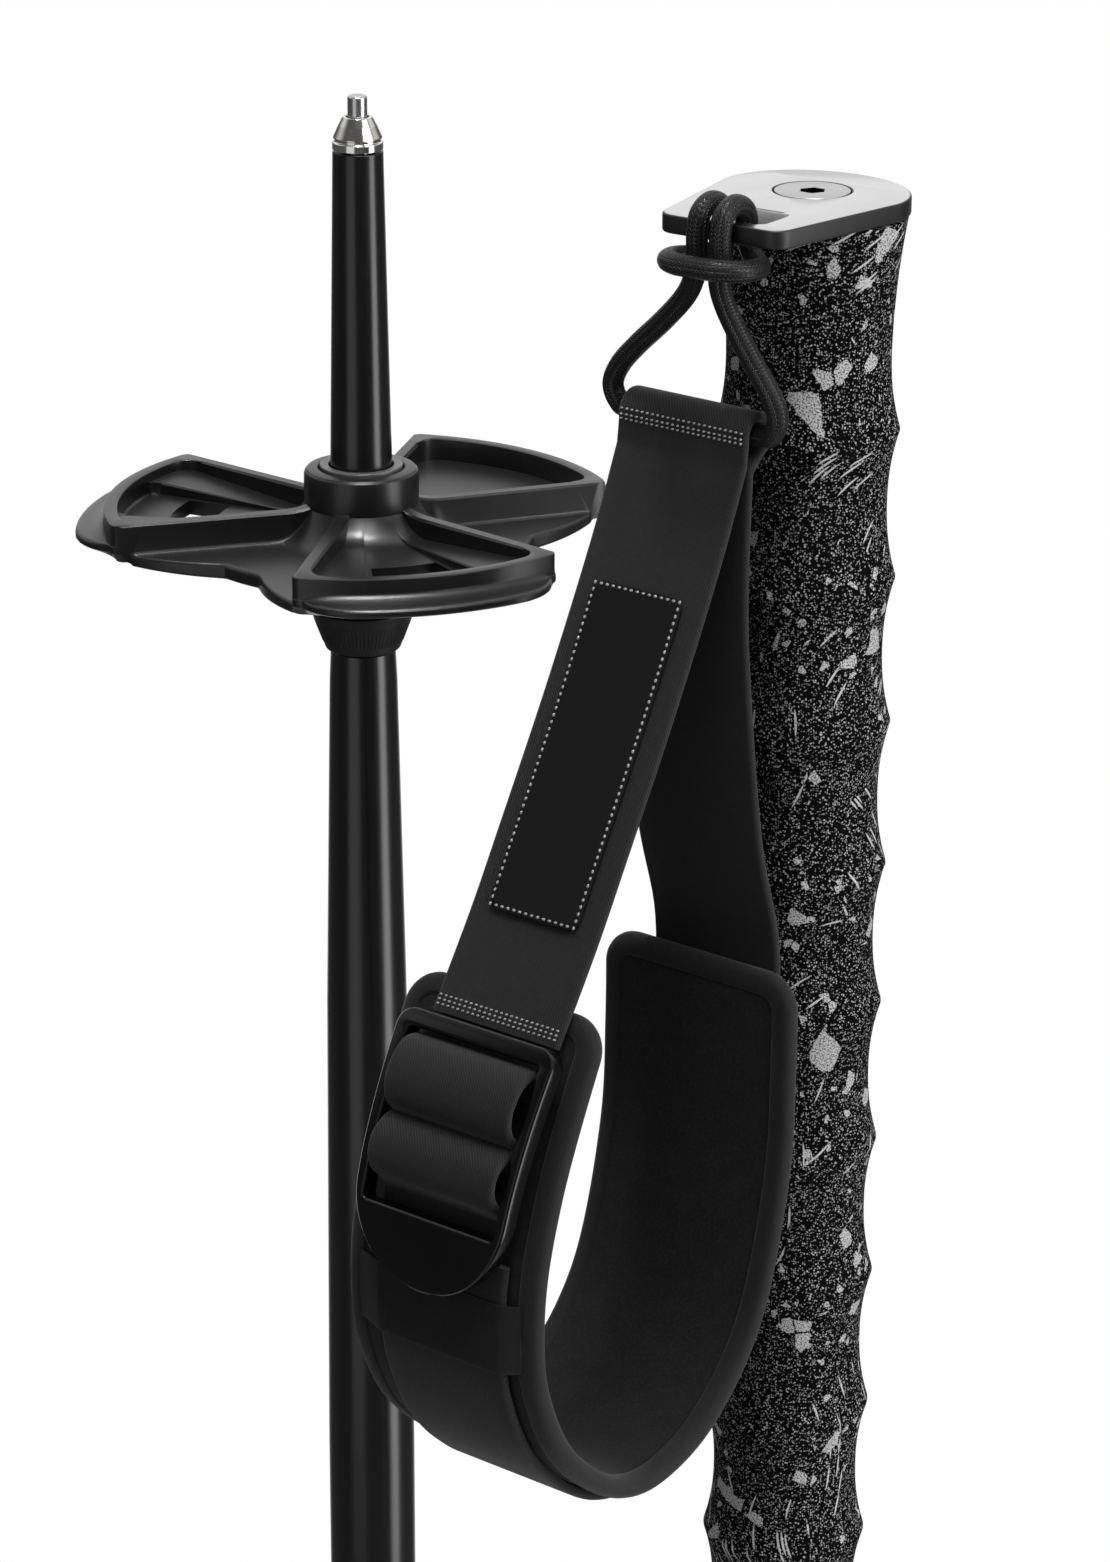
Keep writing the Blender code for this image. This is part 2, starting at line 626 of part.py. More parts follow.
def basket(prefix, spin):
    hub = basket_hub(prefix, spin)
    inside = HUB_RADIUS - 2 * HUB_BEVEL
    tray = WALL_RADIUS - WALL_THICKNESS
    tray_angle = WALL_HALF_ANGLE - WALL_THICKNESS / (0.8 * WALL_RADIUS)
    middles = [BASKET_TURN + 2 * math.pi * i / BASKET_PETALS for i in range(BASKET_PETALS)]
    webs, walls, lips = [web_outline()], [], []
    hole = 2 * math.pi / 16
    webs.append([(inside * math.cos(hole * i), inside * math.sin(hole * i)) for i in range(16)])
    for petal in LEDGE_PETALS:
        cut = sector(OPENING_INNER, OPENING_OUTER, OPENING_HALF_ANGLE, middles[petal], OPENING_CORNER, 5)
        webs.append(cut)
    for middle in middles:
        walls.append(sector(inside - WALL_ROOT, WALL_RADIUS, WALL_HALF_ANGLE, middle, WALL_CORNER))
        walls.append(sector(inside, tray, tray_angle, middle, TRAY_CORNER))
        lips.append(sector(tray + LIP_ROOT, BASKET_RADIUS, WALL_HALF_ANGLE * LIP_SPAN, middle, LIP_CORNER))
    web = basket_layer(prefix + "basket_web", spin, webs, WEB_TOP, WEB_BOTTOM)
    combine(hub, web, "UNION")
    wall = basket_layer(prefix + "basket_walls", spin, walls, WALL_TOP, WEB_TOP + WALL_OVERLAP)
    combine(hub, wall, "UNION")
    combine(hub, basket_layer(prefix + "basket_lips", spin, lips, LIP_TOP, LIP_BOTTOM), "UNION")
    buried_angle = tray_angle + math.radians(1.0)
    aside = (POCKET_HALF_ANGLE + buried_angle) / 2
    half_angle = (buried_angle - POCKET_HALF_ANGLE) / 2
    for petal in LEDGE_PETALS:
        for number, middle in enumerate((middles[petal] - aside, middles[petal] + aside)):
            name = prefix + "basket_ledge_" + str(2 * petal + number)
            shelf = ledge(name, spin, middle, half_angle, inside - LEDGE_ROOT, tray + LEDGE_REACH)
            combine(hub, shelf, "UNION")


def basket_ring(prefix, pole):
    top = HUB_TOP - RING_PROUD
    bore = SLEEVE_SEAT_RADIUS + CLEAR
    profile = [
        (RING_RADIUS, top), (RING_RADIUS, top + RING_THICKNESS), (bore, top + RING_THICKNESS), (bore, top),
    ]
    lathe = [(radius, tip_z(distance)) for radius, distance in reversed(profile)]
    turned(prefix + "basket_ring", lathe, pole, finish("ring grey", (0.35, 0.35, 0.36), 0.4), SMALL_STEPS)


def lock_collar(prefix, pole):
    start = BOSS_BOTTOM + CLEAR
    bore = SLEEVE_SEAT_RADIUS + CLEAR
    sides = 2 * COLLAR_RIBS

    def ring(distance, radius, ribbed):
        points = []
        for i in range(sides):
            angle = 2 * math.pi * i / sides
            r = radius - (COLLAR_RIB_DEPTH if ribbed and i % 2 else 0.0)
            points.append((r * math.cos(angle), r * math.sin(angle), tip_z(distance)))
        return points

    rim = start + COLLAR_LENGTH - COLLAR_RIM
    draw_in = 2 * COLLAR_RIB_DEPTH
    rings = [
        ring(start, bore, False), ring(start, COLLAR_TOP_RADIUS, False),
        ring(start + COLLAR_SHOULDER, COLLAR_TOP_RADIUS - draw_in, True), ring(rim, COLLAR_END_RADIUS, True),
        ring(collar_end(), COLLAR_END_RADIUS - 2 * draw_in, False), ring(collar_end(), bore, False),
    ]
    mesh = loft(prefix + "lock_collar", rings, closed=True)
    add_object(prefix + "lock_collar", mesh, pole, finish("collar plastic", (0.035, 0.035, 0.037), 0.5))


def strap_point(x, y, z):
    """A place on the strap, which hangs a little turned about the plumb line through the cord's bar."""
    turn = Matrix.Rotation(STRAP_YAW, 3, "Z")
    pivot = Vector((0.0, BAR_Y, 0.0))
    return pivot + turn @ (Vector((x, y, z)) * MM - pivot)


def cord_route():
    """Through the sleeve, up behind the bight, twice over the bar and round the front, and back down."""
    reach = CORD_RADIUS + BAR_WIDTH / 2 + CORD_SLACK
    front, rear = (BAR_Y - reach) / MM, (BAR_Y + reach) / MM
    left_leg = [(-5.5, -26.5, -32.2), (-16.6, -26.5, -32.2), (-19.0, -26.6, -31.3),
                (-20.0, -26.8, -28.6), (-18.3, -27.1, -25.2), (-14.4, -27.6, -21.2), (-9.2, -28.2, -16.6),
                (-4.6, -28.9, -12.0), (-2.4, front, -8.4)]
    right_leg = [(-2.5, -26.5, -32.2), (8.6, -26.5, -32.2), (11.0, -26.6, -31.3),
                 (12.0, -26.8, -28.8), (11.2, -27.1, -25.8), (8.6, -27.6, -21.6), (5.6, -28.2, -16.8),
                 (3.2, -28.9, -12.0), (2.4, front, -8.4)]
    over_bar = [(2.1, front, -4.6), (2.1, front, -1.2), (2.1, front + 0.9, 1.5), (2.1, BAR_Y / MM, 2.7),
                (2.1, rear - 0.9, 1.5), (2.1, rear, -1.2), (2.3, rear, -3.6), (3.6, rear - 0.4, -5.9),
                (6.0, -24.2, -6.5), (7.2, -27.6, -6.2), (6.3, -31.0, -5.9), (3.4, front - 3.8, -5.7)]
    down_left = [(-x, y, z) for x, y, z in over_bar]
    middle = [(0.0, front - 3.9, -5.7)]
    route = [strap_point(*p) for p in left_leg]
    route += [Vector(p) * MM for p in down_left + middle + over_bar[::-1]]
    route += [strap_point(*p) for p in reversed(right_leg)]
    return route


def wrist_cord(prefix, hang):
    curve = bpy.data.curves.new(prefix + "wrist_cord", "CURVE")
    curve.dimensions = "3D"
    curve.bevel_depth = CORD_RADIUS
    curve.bevel_resolution = 2
    curve.use_fill_caps = True
    line = smooth_line(cord_route(), 2)
    spline = curve.splines.new("POLY")
    spline.points.add(len(line) - 1)
    for point, place in zip(spline.points, line):
        point.co = (*place, 1.0)
    curve.materials.append(finish("cord black", (0.03, 0.03, 0.03), 0.7))
    cord = bpy.data.objects.new(prefix + "wrist_cord", curve)
    PARTS.objects.link(cord)
    cord.parent = hang
    cord.location = (0.0, -BAR_Y, -BAR_Z)


def pad_line():
    return smooth_line(in_metres(PAD_LINE), 2)


def webbing_line():
    """Front leg, round the cord in the sewn sleeve, back leg, then round the outside of the pad."""
    wrap = CORD_RADIUS + 2 * CLEAR + WEB_THICKNESS / 2
    seam = WEB_THICKNESS / 2 + WEB_SEAM
    front = in_metres(FRONT_LEG)
    lean = (Vector((SLEEVE_Y, SLEEVE_Z)) - front[-1]).normalized()
    across = Vector((-lean.y, lean.x))
    centre = Vector((SLEEVE_Y, SLEEVE_Z))
    throat = centre - lean * (wrap + WEB_THROAT)
    turns = [math.radians(a) for a in (-130, -105, -80, -52, -26, 0, 26, 52, 80, 105, 130)]
    sleeve = [centre + wrap * (lean * math.cos(a) - across * math.sin(a)) for a in turns]
    sleeve = [throat + across * seam] + sleeve + [throat - across * seam]
    stand_off = PAD_THICKNESS / 2 + CLEAR + WEB_THICKNESS / 2
    outside = side_step(pad_line(), -stand_off)[::-1]
    round_pad = [p for p in outside if p.x > WEB_END_Y or p.y < WEB_END_Z]
    legs = smooth_line(front + sleeve[:1], 2) + sleeve[1:-1]
    legs += smooth_line(sleeve[-1:] + in_metres(BACK_LEG) + round_pad[1:2], 2)[:-1]
    return legs + round_pad[1:]


def webbing_finish():
    return finish("webbing charcoal", (0.05, 0.05, 0.052), 0.85)


def strap_webbing(prefix, strap):
    mesh = band(prefix + "strap_webbing", webbing_line(), WEB_THICKNESS, WEB_WIDTH)
    return add_object(prefix + "strap_webbing", mesh, strap, webbing_finish())


def strap_label(prefix, strap):
    front = smooth_line(in_metres(FRONT_LEG), 4)[::-1]
    lifted = side_step(front, -(WEB_THICKNESS / 2 + CLEAR + LABEL_THICKNESS / 2))
    steps = 8
    line = [walk(lifted, LABEL_START + LABEL_LENGTH * i / steps) for i in range(steps + 1)]
    mesh = band(prefix + "strap_label", line, LABEL_THICKNESS, LABEL_WIDTH)
    return add_object(prefix + "strap_label", mesh, strap, finish("label black", (0.02, 0.02, 0.02), 0.8))


def wrist_pad(prefix, strap):
    """A padded band: rounded ends, softly rounded edges and a slight crown across its width."""
    line = smooth_line(in_metres(PAD_LINE), 2)
    lengths = [0.0]
    for here, after in zip(line, line[1:]):
        lengths.append(lengths[-1] + (after - here).length)
    total = lengths[-1]
    rings = []
    for i, point in enumerate(line):
        run = (line[min(i + 1, len(line) - 1)] - line[max(i - 1, 0)]).normalized()
        out = Vector((-run.y, run.x))
        end = min(lengths[i], total - lengths[i])
        short = max(0.0, PAD_CORNER - end)
        half = PAD_WIDTH / 2 - PAD_CORNER + math.sqrt(max(PAD_CORNER ** 2 - short ** 2, 0.0))
        half_depth = PAD_THICKNESS / 2
        section = [(across * half, depth * half_depth) for across, depth in PAD_SECTION]
        section += [(x, -depth) for x, depth in reversed(section)]
        rings.append([
            (PAD_X + x, point.x + out.x * depth, point.y + out.y * depth) for x, depth in section
        ])
    mesh = loft(prefix + "wrist_pad", rings)
    return add_object(prefix + "wrist_pad", mesh, strap, finish("pad black", (0.025, 0.025, 0.027), 0.8))


def keeper_band(prefix, strap):
    """An elastic bridge over the webbing, its two feet down on the pad."""
    line = smooth_line(in_metres(PAD_LINE), 8)
    at = min(range(len(line) // 2), key=lambda i: abs(line[i].y - KEEPER_Z))
    run = (line[at + 1] - line[at - 1]).normalized()
    out = Vector((run.y, -run.x))
    foot = PAD_THICKNESS / 2 + CLEAR
    under = foot + WEB_THICKNESS + 2 * CLEAR
    over = under + KEEPER_THICKNESS
    inner = WEB_WIDTH / 2 + CLEAR
    right = inner + KEEPER_FOOT
    left = -PAD_WIDTH / 2 + PAD_X - STRAP_X + KEEPER_EDGE
    lip = foot + KEEPER_THICKNESS
    bridge = [(right, foot), (right, lip), (inner + KEEPER_THICKNESS, over)]
    bridge += [(-inner - KEEPER_THICKNESS, over), (left, lip), (left, foot)]
    bridge += [(-inner, foot), (-inner, under), (inner, under), (inner, foot)]
    mesh = flat_shape(prefix + "keeper_band", [bridge], KEEPER_LENGTH)
    place = line[at]
    mesh.transform(Matrix((
        (1, 0, 0, STRAP_X), (0, out.x, run.x, place.x), (0, out.y, run.y, place.y), (0, 0, 0, 1)
    )))
    shape = bmesh.new()
    shape.from_mesh(mesh)
    mesh = mesh_from(prefix + "keeper_band", shape)
    elastic = finish("keeper elastic", (0.04, 0.04, 0.042), 0.85)
    return add_object(prefix + "keeper_band", mesh, strap, elastic)


def buckle_place(along, off):
    """A place on the buckle, by its run along the buckle's middle line and its lift off it."""
    line = smooth_line(in_metres(BUCKLE_LINE), 8)
    for here, after in zip(line, line[1:]):
        step = (after - here).length
        if along <= step or after is line[-1]:
            run = (after - here).normalized()
            return here + run * along + Vector((run.y, -run.x)) * off
        along -= step
    return line[-1]


def ladder_buckle(prefix, tilt):
    """An arched frame with a window for the webbing, two cross bars and a rounded finger tab."""
    line = smooth_line(in_metres(BUCKLE_LINE), 4)
    length = sum((after - here).length for here, after in zip(line, line[1:]))
    black = finish("buckle plastic", (0.02, 0.02, 0.021), 0.35)
    mesh = band(prefix + "ladder_buckle", line, BUCKLE_THICKNESS, BUCKLE_WIDTH)
    buckle = add_object(prefix + "ladder_buckle", mesh, tilt, black)
    half = BUCKLE_WIDTH / 2
    corner = BUCKLE_CORNER
    tab = half - BUCKLE_TAB_INSET
    lead = (line[-1] - line[0]).normalized()
    facing = Vector((lead.y, -lead.x))
    edge = BUCKLE_WINDOW_CORNER
    outline = arc((half - corner, -corner), corner, 0.0, math.pi / 2, 4)
    outline += arc((corner - half, -corner), corner, math.pi / 2, math.pi, 4)
    outline += arc((0.0, tab - length + BUCKLE_TAB_TRIM), tab, math.pi, 2 * math.pi, 13)
    window_half = half - BUCKLE_RAIL
    window_end = -BUCKLE_TOP_RAIL - BUCKLE_WINDOW
    window = arc((window_half - edge, -BUCKLE_TOP_RAIL - edge), edge, 0.0, math.pi / 2, 3)
    window += arc((edge - window_half, -BUCKLE_TOP_RAIL - edge), edge, math.pi / 2, math.pi, 3)
    window += [(-window_half, window_end), (window_half, window_end)]
    stamp = flat_shape(prefix + "buckle_stamp", [outline, window], BUCKLE_STAMP_DEPTH)
    place = line[0]
    stamp.transform(Matrix((
        (1, 0, 0, STRAP_X), (0, -lead.x, facing.x, place.x), (0, -lead.y, facing.y, place.y), (0, 0, 0, 1)
    )))
    shape = bmesh.new()
    shape.from_mesh(stamp)
    stamp = mesh_from(prefix + "buckle_stamp", shape)
    combine(buckle, add_object(prefix + "buckle_stamp", stamp, tilt, location=buckle.location), "INTERSECT")
    bars = []
    for number, along in enumerate(BUCKLE_BARS):
        shape = bmesh.new()
        bmesh.ops.create_cone(
            shape, cap_ends=True, segments=12, depth=BUCKLE_WIDTH - BUCKLE_RAIL,
            radius1=BUCKLE_BAR_RADIUS, radius2=BUCKLE_BAR_RADIUS,
        )
        middle = buckle_place(along, 0.0)
        bmesh.ops.rotate(shape, verts=shape.verts, matrix=Matrix.Rotation(math.pi / 2, 3, "Y"))
        bmesh.ops.translate(shape, verts=shape.verts, vec=(STRAP_X, middle.x, middle.y))
        name = prefix + "buckle_bar_" + str(number + 1)
        bar = add_object(name, mesh_from(name, shape), tilt)
        combine(buckle, bar, "UNION")
        bars.append(bar)
    return [buckle, bpy.data.objects[prefix + "buckle_stamp"]] + bars


def buckle_webbing(prefix, tilt):
    """The webbing that waves over the buckle's two bars."""
    line = smooth_line([buckle_place(along * MM, off * MM) for along, off in ROLL_LINE], 2)
    mesh = band(prefix + "buckle_webbing", line, WEB_THICKNESS, WEB_WIDTH)
    return add_object(prefix + "buckle_webbing", mesh, tilt, webbing_finish())


def hang_strap(prefix, bar_place, swing):
    """The strap on its own axes: the cord turns on the bar, the strap on it, the buckle on the strap."""
    hang = add_empty(prefix + "cord_axis", location=bar_place)
    wrist_cord(prefix, hang)
    sleeve = Vector((STRAP_X, SLEEVE_Y, SLEEVE_Z))
    at_sleeve = strap_point(*(sleeve / MM)) - Vector((0.0, BAR_Y, BAR_Z))
    strap = add_empty(prefix + "strap_axis", hang, at_sleeve, (swing, 0.0, STRAP_YAW))
    for piece in (strap_webbing, strap_label, wrist_pad, keeper_band):
        piece(prefix, strap).location = -sleeve
    top = Vector((STRAP_X, *buckle_place(0.0, -BUCKLE_THICKNESS / 2)))
    tilt = add_empty(prefix + "buckle_axis", strap, top - sleeve)
    for item in ladder_buckle(prefix, tilt) + [buckle_webbing(prefix, tilt)]:
        item.location = -top


def build_pole(prefix, place, turn, strap_swing):
    pole = add_empty(prefix + "pole_axis", location=place, turn=turn)
    fixed = (grip_foam, top_plate, plate_bolt, shaft_plug, shaft, tip_sleeve, tip_ferrule, carbide_pin)
    for piece in fixed + (basket_ring, lock_collar):
        piece(prefix, pole)
    basket(prefix, add_empty(prefix + "basket_axis", pole))
    upside_down = math.cos(turn[1]) < 0.0
    bar = Vector((0.0, BAR_Y, -BAR_Z if upside_down else BAR_Z))
    hang_strap(prefix, Vector(place) + bar, strap_swing)


build_pole("right_", (0.0, 0.0, HANDHOLD_DEPTH), (0.0, 0.0, 0.0), 0.0)
left_place = PAIR_OFFSET + Vector((0.0, 0.0, HANDHOLD_DEPTH - POLE_LENGTH))
build_pole("left_", left_place, (0.0, math.pi, 0.0), FREE_HANG)
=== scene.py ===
import json
import math

import bmesh
import bpy
from mathutils import Matrix, Vector


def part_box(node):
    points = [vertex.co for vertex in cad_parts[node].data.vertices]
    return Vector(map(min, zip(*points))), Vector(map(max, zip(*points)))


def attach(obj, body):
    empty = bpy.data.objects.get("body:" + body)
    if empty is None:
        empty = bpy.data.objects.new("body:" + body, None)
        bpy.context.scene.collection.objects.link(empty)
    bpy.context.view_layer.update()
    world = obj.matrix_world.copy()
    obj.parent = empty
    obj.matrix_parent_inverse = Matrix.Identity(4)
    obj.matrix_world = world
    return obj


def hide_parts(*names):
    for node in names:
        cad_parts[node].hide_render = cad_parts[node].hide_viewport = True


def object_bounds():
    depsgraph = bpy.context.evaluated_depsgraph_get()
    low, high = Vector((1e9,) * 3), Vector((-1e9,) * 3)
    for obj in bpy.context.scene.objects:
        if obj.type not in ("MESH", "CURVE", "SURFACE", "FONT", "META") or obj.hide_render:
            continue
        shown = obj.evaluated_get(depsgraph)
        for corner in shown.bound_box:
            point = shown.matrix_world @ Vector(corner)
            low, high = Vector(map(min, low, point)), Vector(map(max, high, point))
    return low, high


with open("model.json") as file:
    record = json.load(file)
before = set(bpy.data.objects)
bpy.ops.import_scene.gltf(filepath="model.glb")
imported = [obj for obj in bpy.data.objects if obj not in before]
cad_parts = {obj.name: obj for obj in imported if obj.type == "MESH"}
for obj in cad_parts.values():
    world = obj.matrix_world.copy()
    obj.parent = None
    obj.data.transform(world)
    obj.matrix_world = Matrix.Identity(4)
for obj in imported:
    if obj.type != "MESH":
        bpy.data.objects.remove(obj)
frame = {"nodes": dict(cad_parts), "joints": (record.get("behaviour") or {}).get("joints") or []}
cad_low, cad_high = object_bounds()

# The studio: a white paper sweep and a paper floor that glows a little to the camera, which stands where the
# photograph's did. A strip lamp stands at its right, a dim one at its left, a key lamp high at its right and
# a soft one overhead. A snooted lamp above the upturned tip lights the basket's trays.
SWEEP_BEARING = math.radians(35.0)
SWEEP_HALF_WIDTH = math.radians(24.0)
SWEEP_EDGE = math.radians(9.0)
CEILING_EDGE = (0.1, 0.45)
CEILING_REACH = (math.radians(115.0), math.radians(65.0))
STUDIO_GREY = (0.1, 0.1, 0.1, 1.0)
WHITE = (1.0, 1.0, 1.0, 1.0)
FLOOR_WHITE = (0.86, 0.86, 0.86, 1.0)
FLOOR_ROUGHNESS = 0.9
FLOOR_RADIUS = 3.0
FLOOR_SIDES = 96
FLOOR_FADE = (1.9, 0.8)
FLOOR_GLOW = 0.72
CAMERA_LENS = 110.63
CAMERA_SENSOR = 36.0
CAMERA_PLACE = (0.389, -0.625, 0.2293)
CAMERA_PITCH = math.radians(70.0)
CAMERA_ROLL = math.radians(0.2)
LAMP_AIM = Vector((-0.05, -0.03, -0.05))
# Bearing from the camera's, to the right, and elevation in degrees; distance, width and height; brightness.
LAMPS = {
    "strip_lamp": (67.0, 2.0, 1.5, 0.7, 2.4, 4.6),
    "fill_lamp": (-33.0, 0.0, 1.8, 1.2, 2.2, 0.75),
    "top_lamp": (10.0, 70.0, 1.5, 0.6, 0.6, 9.0),
    "key_lamp": (46.0, 34.0, 1.5, 0.4, 0.5, 8.0),
}
SNOOT = {"energy": 105.0, "spot_size": math.radians(8.9), "spot_blend": 0.4, "shadow_soft_size": 0.12}
SNOOT_HEIGHT = 1.0


def put(name, data, **settings):
    """A new object in the scene, with settings of its data."""
    for setting, value in settings.items():
        setattr(data, setting, value)
    item = bpy.data.objects.new(name, data)
    bpy.context.scene.collection.objects.link(item)
    return item


def around(count, start=0.0):
    """Even angles round a circle."""
    return [start + 2 * math.pi * i / count for i in range(count)]


def sums(operation):
    """A method that adds a Math node on its own socket and another value."""
    return lambda self, other=0.0: self.maths(operation, self, other)


class Wire:
    """A socket of a node tree. Sums on it become Math nodes, any other node comes from node()."""

    __add__ = __radd__ = sums("ADD")
    __sub__ = sums("SUBTRACT")
    __mul__ = __rmul__ = sums("MULTIPLY")
    __truediv__ = sums("DIVIDE")
    __gt__ = sums("GREATER_THAN")
    __lt__ = sums("LESS_THAN")
    __abs__ = sums("ABSOLUTE")
    sine = sums("SINE")
    cosine = sums("COSINE")
    part = sums("FRACT")
    most = sums("MAXIMUM")

    def __init__(self, tree, socket=None):
        self.tree = tree
        self.socket = socket

    def __rsub__(self, other):
        return self.maths("SUBTRACT", other, self)

    def node(self, kind, settings=None, sockets=None, out=0):
        """Adds a node, with its settings first and then the values or links of its sockets."""
        made = self.tree.nodes.new(kind)
        for name, value in (settings or {}).items():
            setattr(made, name, value)
        for name, value in (sockets or {}).items():
            if isinstance(value, Wire):
                self.tree.links.new(value.socket, made.inputs[name])
            else:
                made.inputs[name].default_value = value
        return Wire(self.tree, made.outputs[out])

    def maths(self, operation, first, second):
        return self.node("ShaderNodeMath", {"operation": operation}, {0: first, 1: second})

    def vectors(self, operation, *values, out=0):
        sockets = dict(enumerate((self,) + values))
        return self.node("ShaderNodeVectorMath", {"operation": operation}, sockets, out)

    def stretch(self, x, y, z):
        return self.vectors("MULTIPLY", (x, y, z))

    def axis(self, letter):
        return self.node("ShaderNodeSeparateXYZ", {}, {0: self}, "XYZ".index(letter))

    def waves(self, pitch):
        """A sine wave over this value."""
        return (self * (2 * math.pi / pitch)).sine()

    def noise(self, scale, detail=2.0):
        return self.node("ShaderNodeTexNoise", {}, {"Vector": self, "Scale": scale, "Detail": detail})

    def rise(self, low, high):
        """0 below low, 1 above high and a soft step between. High below low turns the step round."""
        settings = {"interpolation_type": "SMOOTHSTEP", "clamp": True}
        return self.node("ShaderNodeMapRange", settings, {"Value": self, "From Min": low, "From Max": high})

    def tint(self, *ends):
        """A colour between two, by this share. A number stands for a grey."""
        low, high = (end if isinstance(end, tuple) else (end, end, end * 1.01, 1.0) for end in ends)
        return self.node("ShaderNodeMix", {"data_type": "RGBA"}, {0: self, 6: low, 7: high}, 2)

    def feed(self, socket, node="Principled BSDF"):
        """Links this to a socket of a node that the tree has from the start."""
        self.tree.links.new(self.socket, self.tree.nodes[node].inputs[socket])


bpy.context.scene.view_settings.view_transform = "Standard"
camera_data = bpy.data.cameras.new("studio_camera")
camera = put("studio_camera", camera_data, lens=CAMERA_LENS, sensor_width=CAMERA_SENSOR)
camera.location = CAMERA_PLACE
camera_turns = ((SWEEP_BEARING, "Z"), (CAMERA_PITCH, "X"), (CAMERA_ROLL, "Z"))
yaw, pitch, roll = (Matrix.Rotation(angle, 3, axis) for angle, axis in camera_turns)
camera.rotation_euler = (yaw @ pitch @ roll).to_euler()
bpy.context.scene.camera = camera

for name, (bearing, elevation, distance, width, height, brightness) in LAMPS.items():
    power = brightness * math.pi * width * height
    lamp_data = bpy.data.lights.new(name, "AREA")
    lamp = put(name, lamp_data, shape="RECTANGLE", size=width, size_y=height, energy=power)
    turn = SWEEP_BEARING + math.radians(bearing)
    lift = math.radians(elevation)
    towards = Vector((math.sin(turn) * math.cos(lift), -math.cos(turn) * math.cos(lift), math.sin(lift)))
    lamp.location = LAMP_AIM + towards * distance
    lamp.rotation_euler = (-towards).to_track_quat("-Z", "Y").to_euler()

snoot_data = bpy.data.lights.new("tray_lamp", "SPOT")
snoot = put("tray_lamp", snoot_data, **SNOOT)
tray_low, tray_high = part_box("left_basket")
snoot.location = (tray_low + tray_high) / 2 + Vector((0.0, 0.0, SNOOT_HEIGHT))

world = bpy.data.worlds.new("studio")
bpy.context.scene.world = world
world.use_nodes = True
air = Wire(world.node_tree)
gaze = air.node("ShaderNodeTexCoord", out="Generated")
off_sweep = abs(air.maths("ARCTAN2", gaze.axis("X") * -1.0, gaze.axis("Y")) - SWEEP_BEARING)
sweep = off_sweep.rise(SWEEP_HALF_WIDTH + SWEEP_EDGE, SWEEP_HALF_WIDTH - SWEEP_EDGE)
overhead = gaze.axis("Z").rise(*CEILING_EDGE) * off_sweep.rise(*CEILING_REACH)
seen = air.node("ShaderNodeLightPath", out="Is Camera Ray")
mirrored = air.node("ShaderNodeLightPath", out="Is Glossy Ray")
through = air.node("ShaderNodeLightPath", out="Is Transmission Ray")
white_share = seen.most(mirrored.most(through) * sweep.most(overhead))
white_share.tint(STUDIO_GREY, WHITE).feed("Color", "Background")

floor_mesh = bpy.data.meshes.new("studio_floor")
floor_edge = [Vector((math.cos(a), math.sin(a), 0.0)) * FLOOR_RADIUS for a in around(FLOOR_SIDES)]
floor_mesh.from_pydata(floor_edge, [], [range(FLOOR_SIDES)])
floor_mesh.transform(Matrix.Translation((LAMP_AIM.x, LAMP_AIM.y, cad_low.z)))
floor = put("studio_floor", floor_mesh)
floor_paper = bpy.data.materials.new("floor_paper")
floor_paper.use_nodes = True
floor_mesh.materials.append(floor_paper)
floor_shader = floor_paper.node_tree.nodes["Principled BSDF"]
floor_shader.inputs["Base Color"].default_value = FLOOR_WHITE
floor_shader.inputs["Roughness"].default_value = FLOOR_ROUGHNESS
paper = Wire(floor_paper.node_tree, floor_shader.outputs["BSDF"])
floor_place = paper.node("ShaderNodeTexCoord", out="Object").stretch(1.0, 1.0, 0.0)
from_middle = floor_place.vectors("DISTANCE", (LAMP_AIM.x, LAMP_AIM.y, 0.0), out="Value")
from_middle.rise(*FLOOR_FADE).feed("Alpha")
glow_share = paper.node("ShaderNodeLightPath", out="Is Camera Ray") * FLOOR_GLOW
glow = paper.node("ShaderNodeEmission", {}, {"Color": WHITE, "Strength": 1.0})
paper.node("ShaderNodeMixShader", {}, {0: glow_share, 1: paper, 2: glow}).feed("Surface", "Material Output")

# The wrist cord of each pole: a loop of black braided polyester cord 3.4 mm thick. Its two ends meet inside
# the strap's sewn sleeve. The loop is hitched round the bar of the top plate and hangs in a small triangle.
MM = 0.001
SIDES = ("right", "left")
JOINTS = {joint["name"]: joint for joint in frame["joints"]}
CORD_RADIUS = 1.7 * MM
CORD_SIDES = 24
CORD_STEPS = 6
BRAID_COLUMNS = 12
BRAID_PITCH = 0.6 * MM
BAR = Vector((0.0, -25.6, -1.5)) * MM
HITCH_FRONT = -29.4
HITCH_REAR = -21.8
HITCH_MIDDLE = (0.0, HITCH_FRONT - 3.9, -5.7)
LEFT_LEG = (
    (-5.5, -26.5, -32.2), (-16.6, -26.5, -32.2), (-19.0, -26.6, -31.3), (-20.0, -26.8, -28.6),
    (-18.3, -27.1, -25.2), (-14.4, -27.6, -21.2), (-9.2, -28.2, -16.6), (-4.6, -28.9, -12.0),
    (-2.4, HITCH_FRONT, -8.4),
)
RIGHT_LEG = (
    (-2.5, -26.5, -32.2), (8.6, -26.5, -32.2), (11.0, -26.6, -31.3), (12.0, -26.8, -28.8),
    (11.2, -27.1, -25.8), (8.6, -27.6, -21.6), (5.6, -28.2, -16.8), (3.2, -28.9, -12.0),
    (2.4, HITCH_FRONT, -8.4),
)
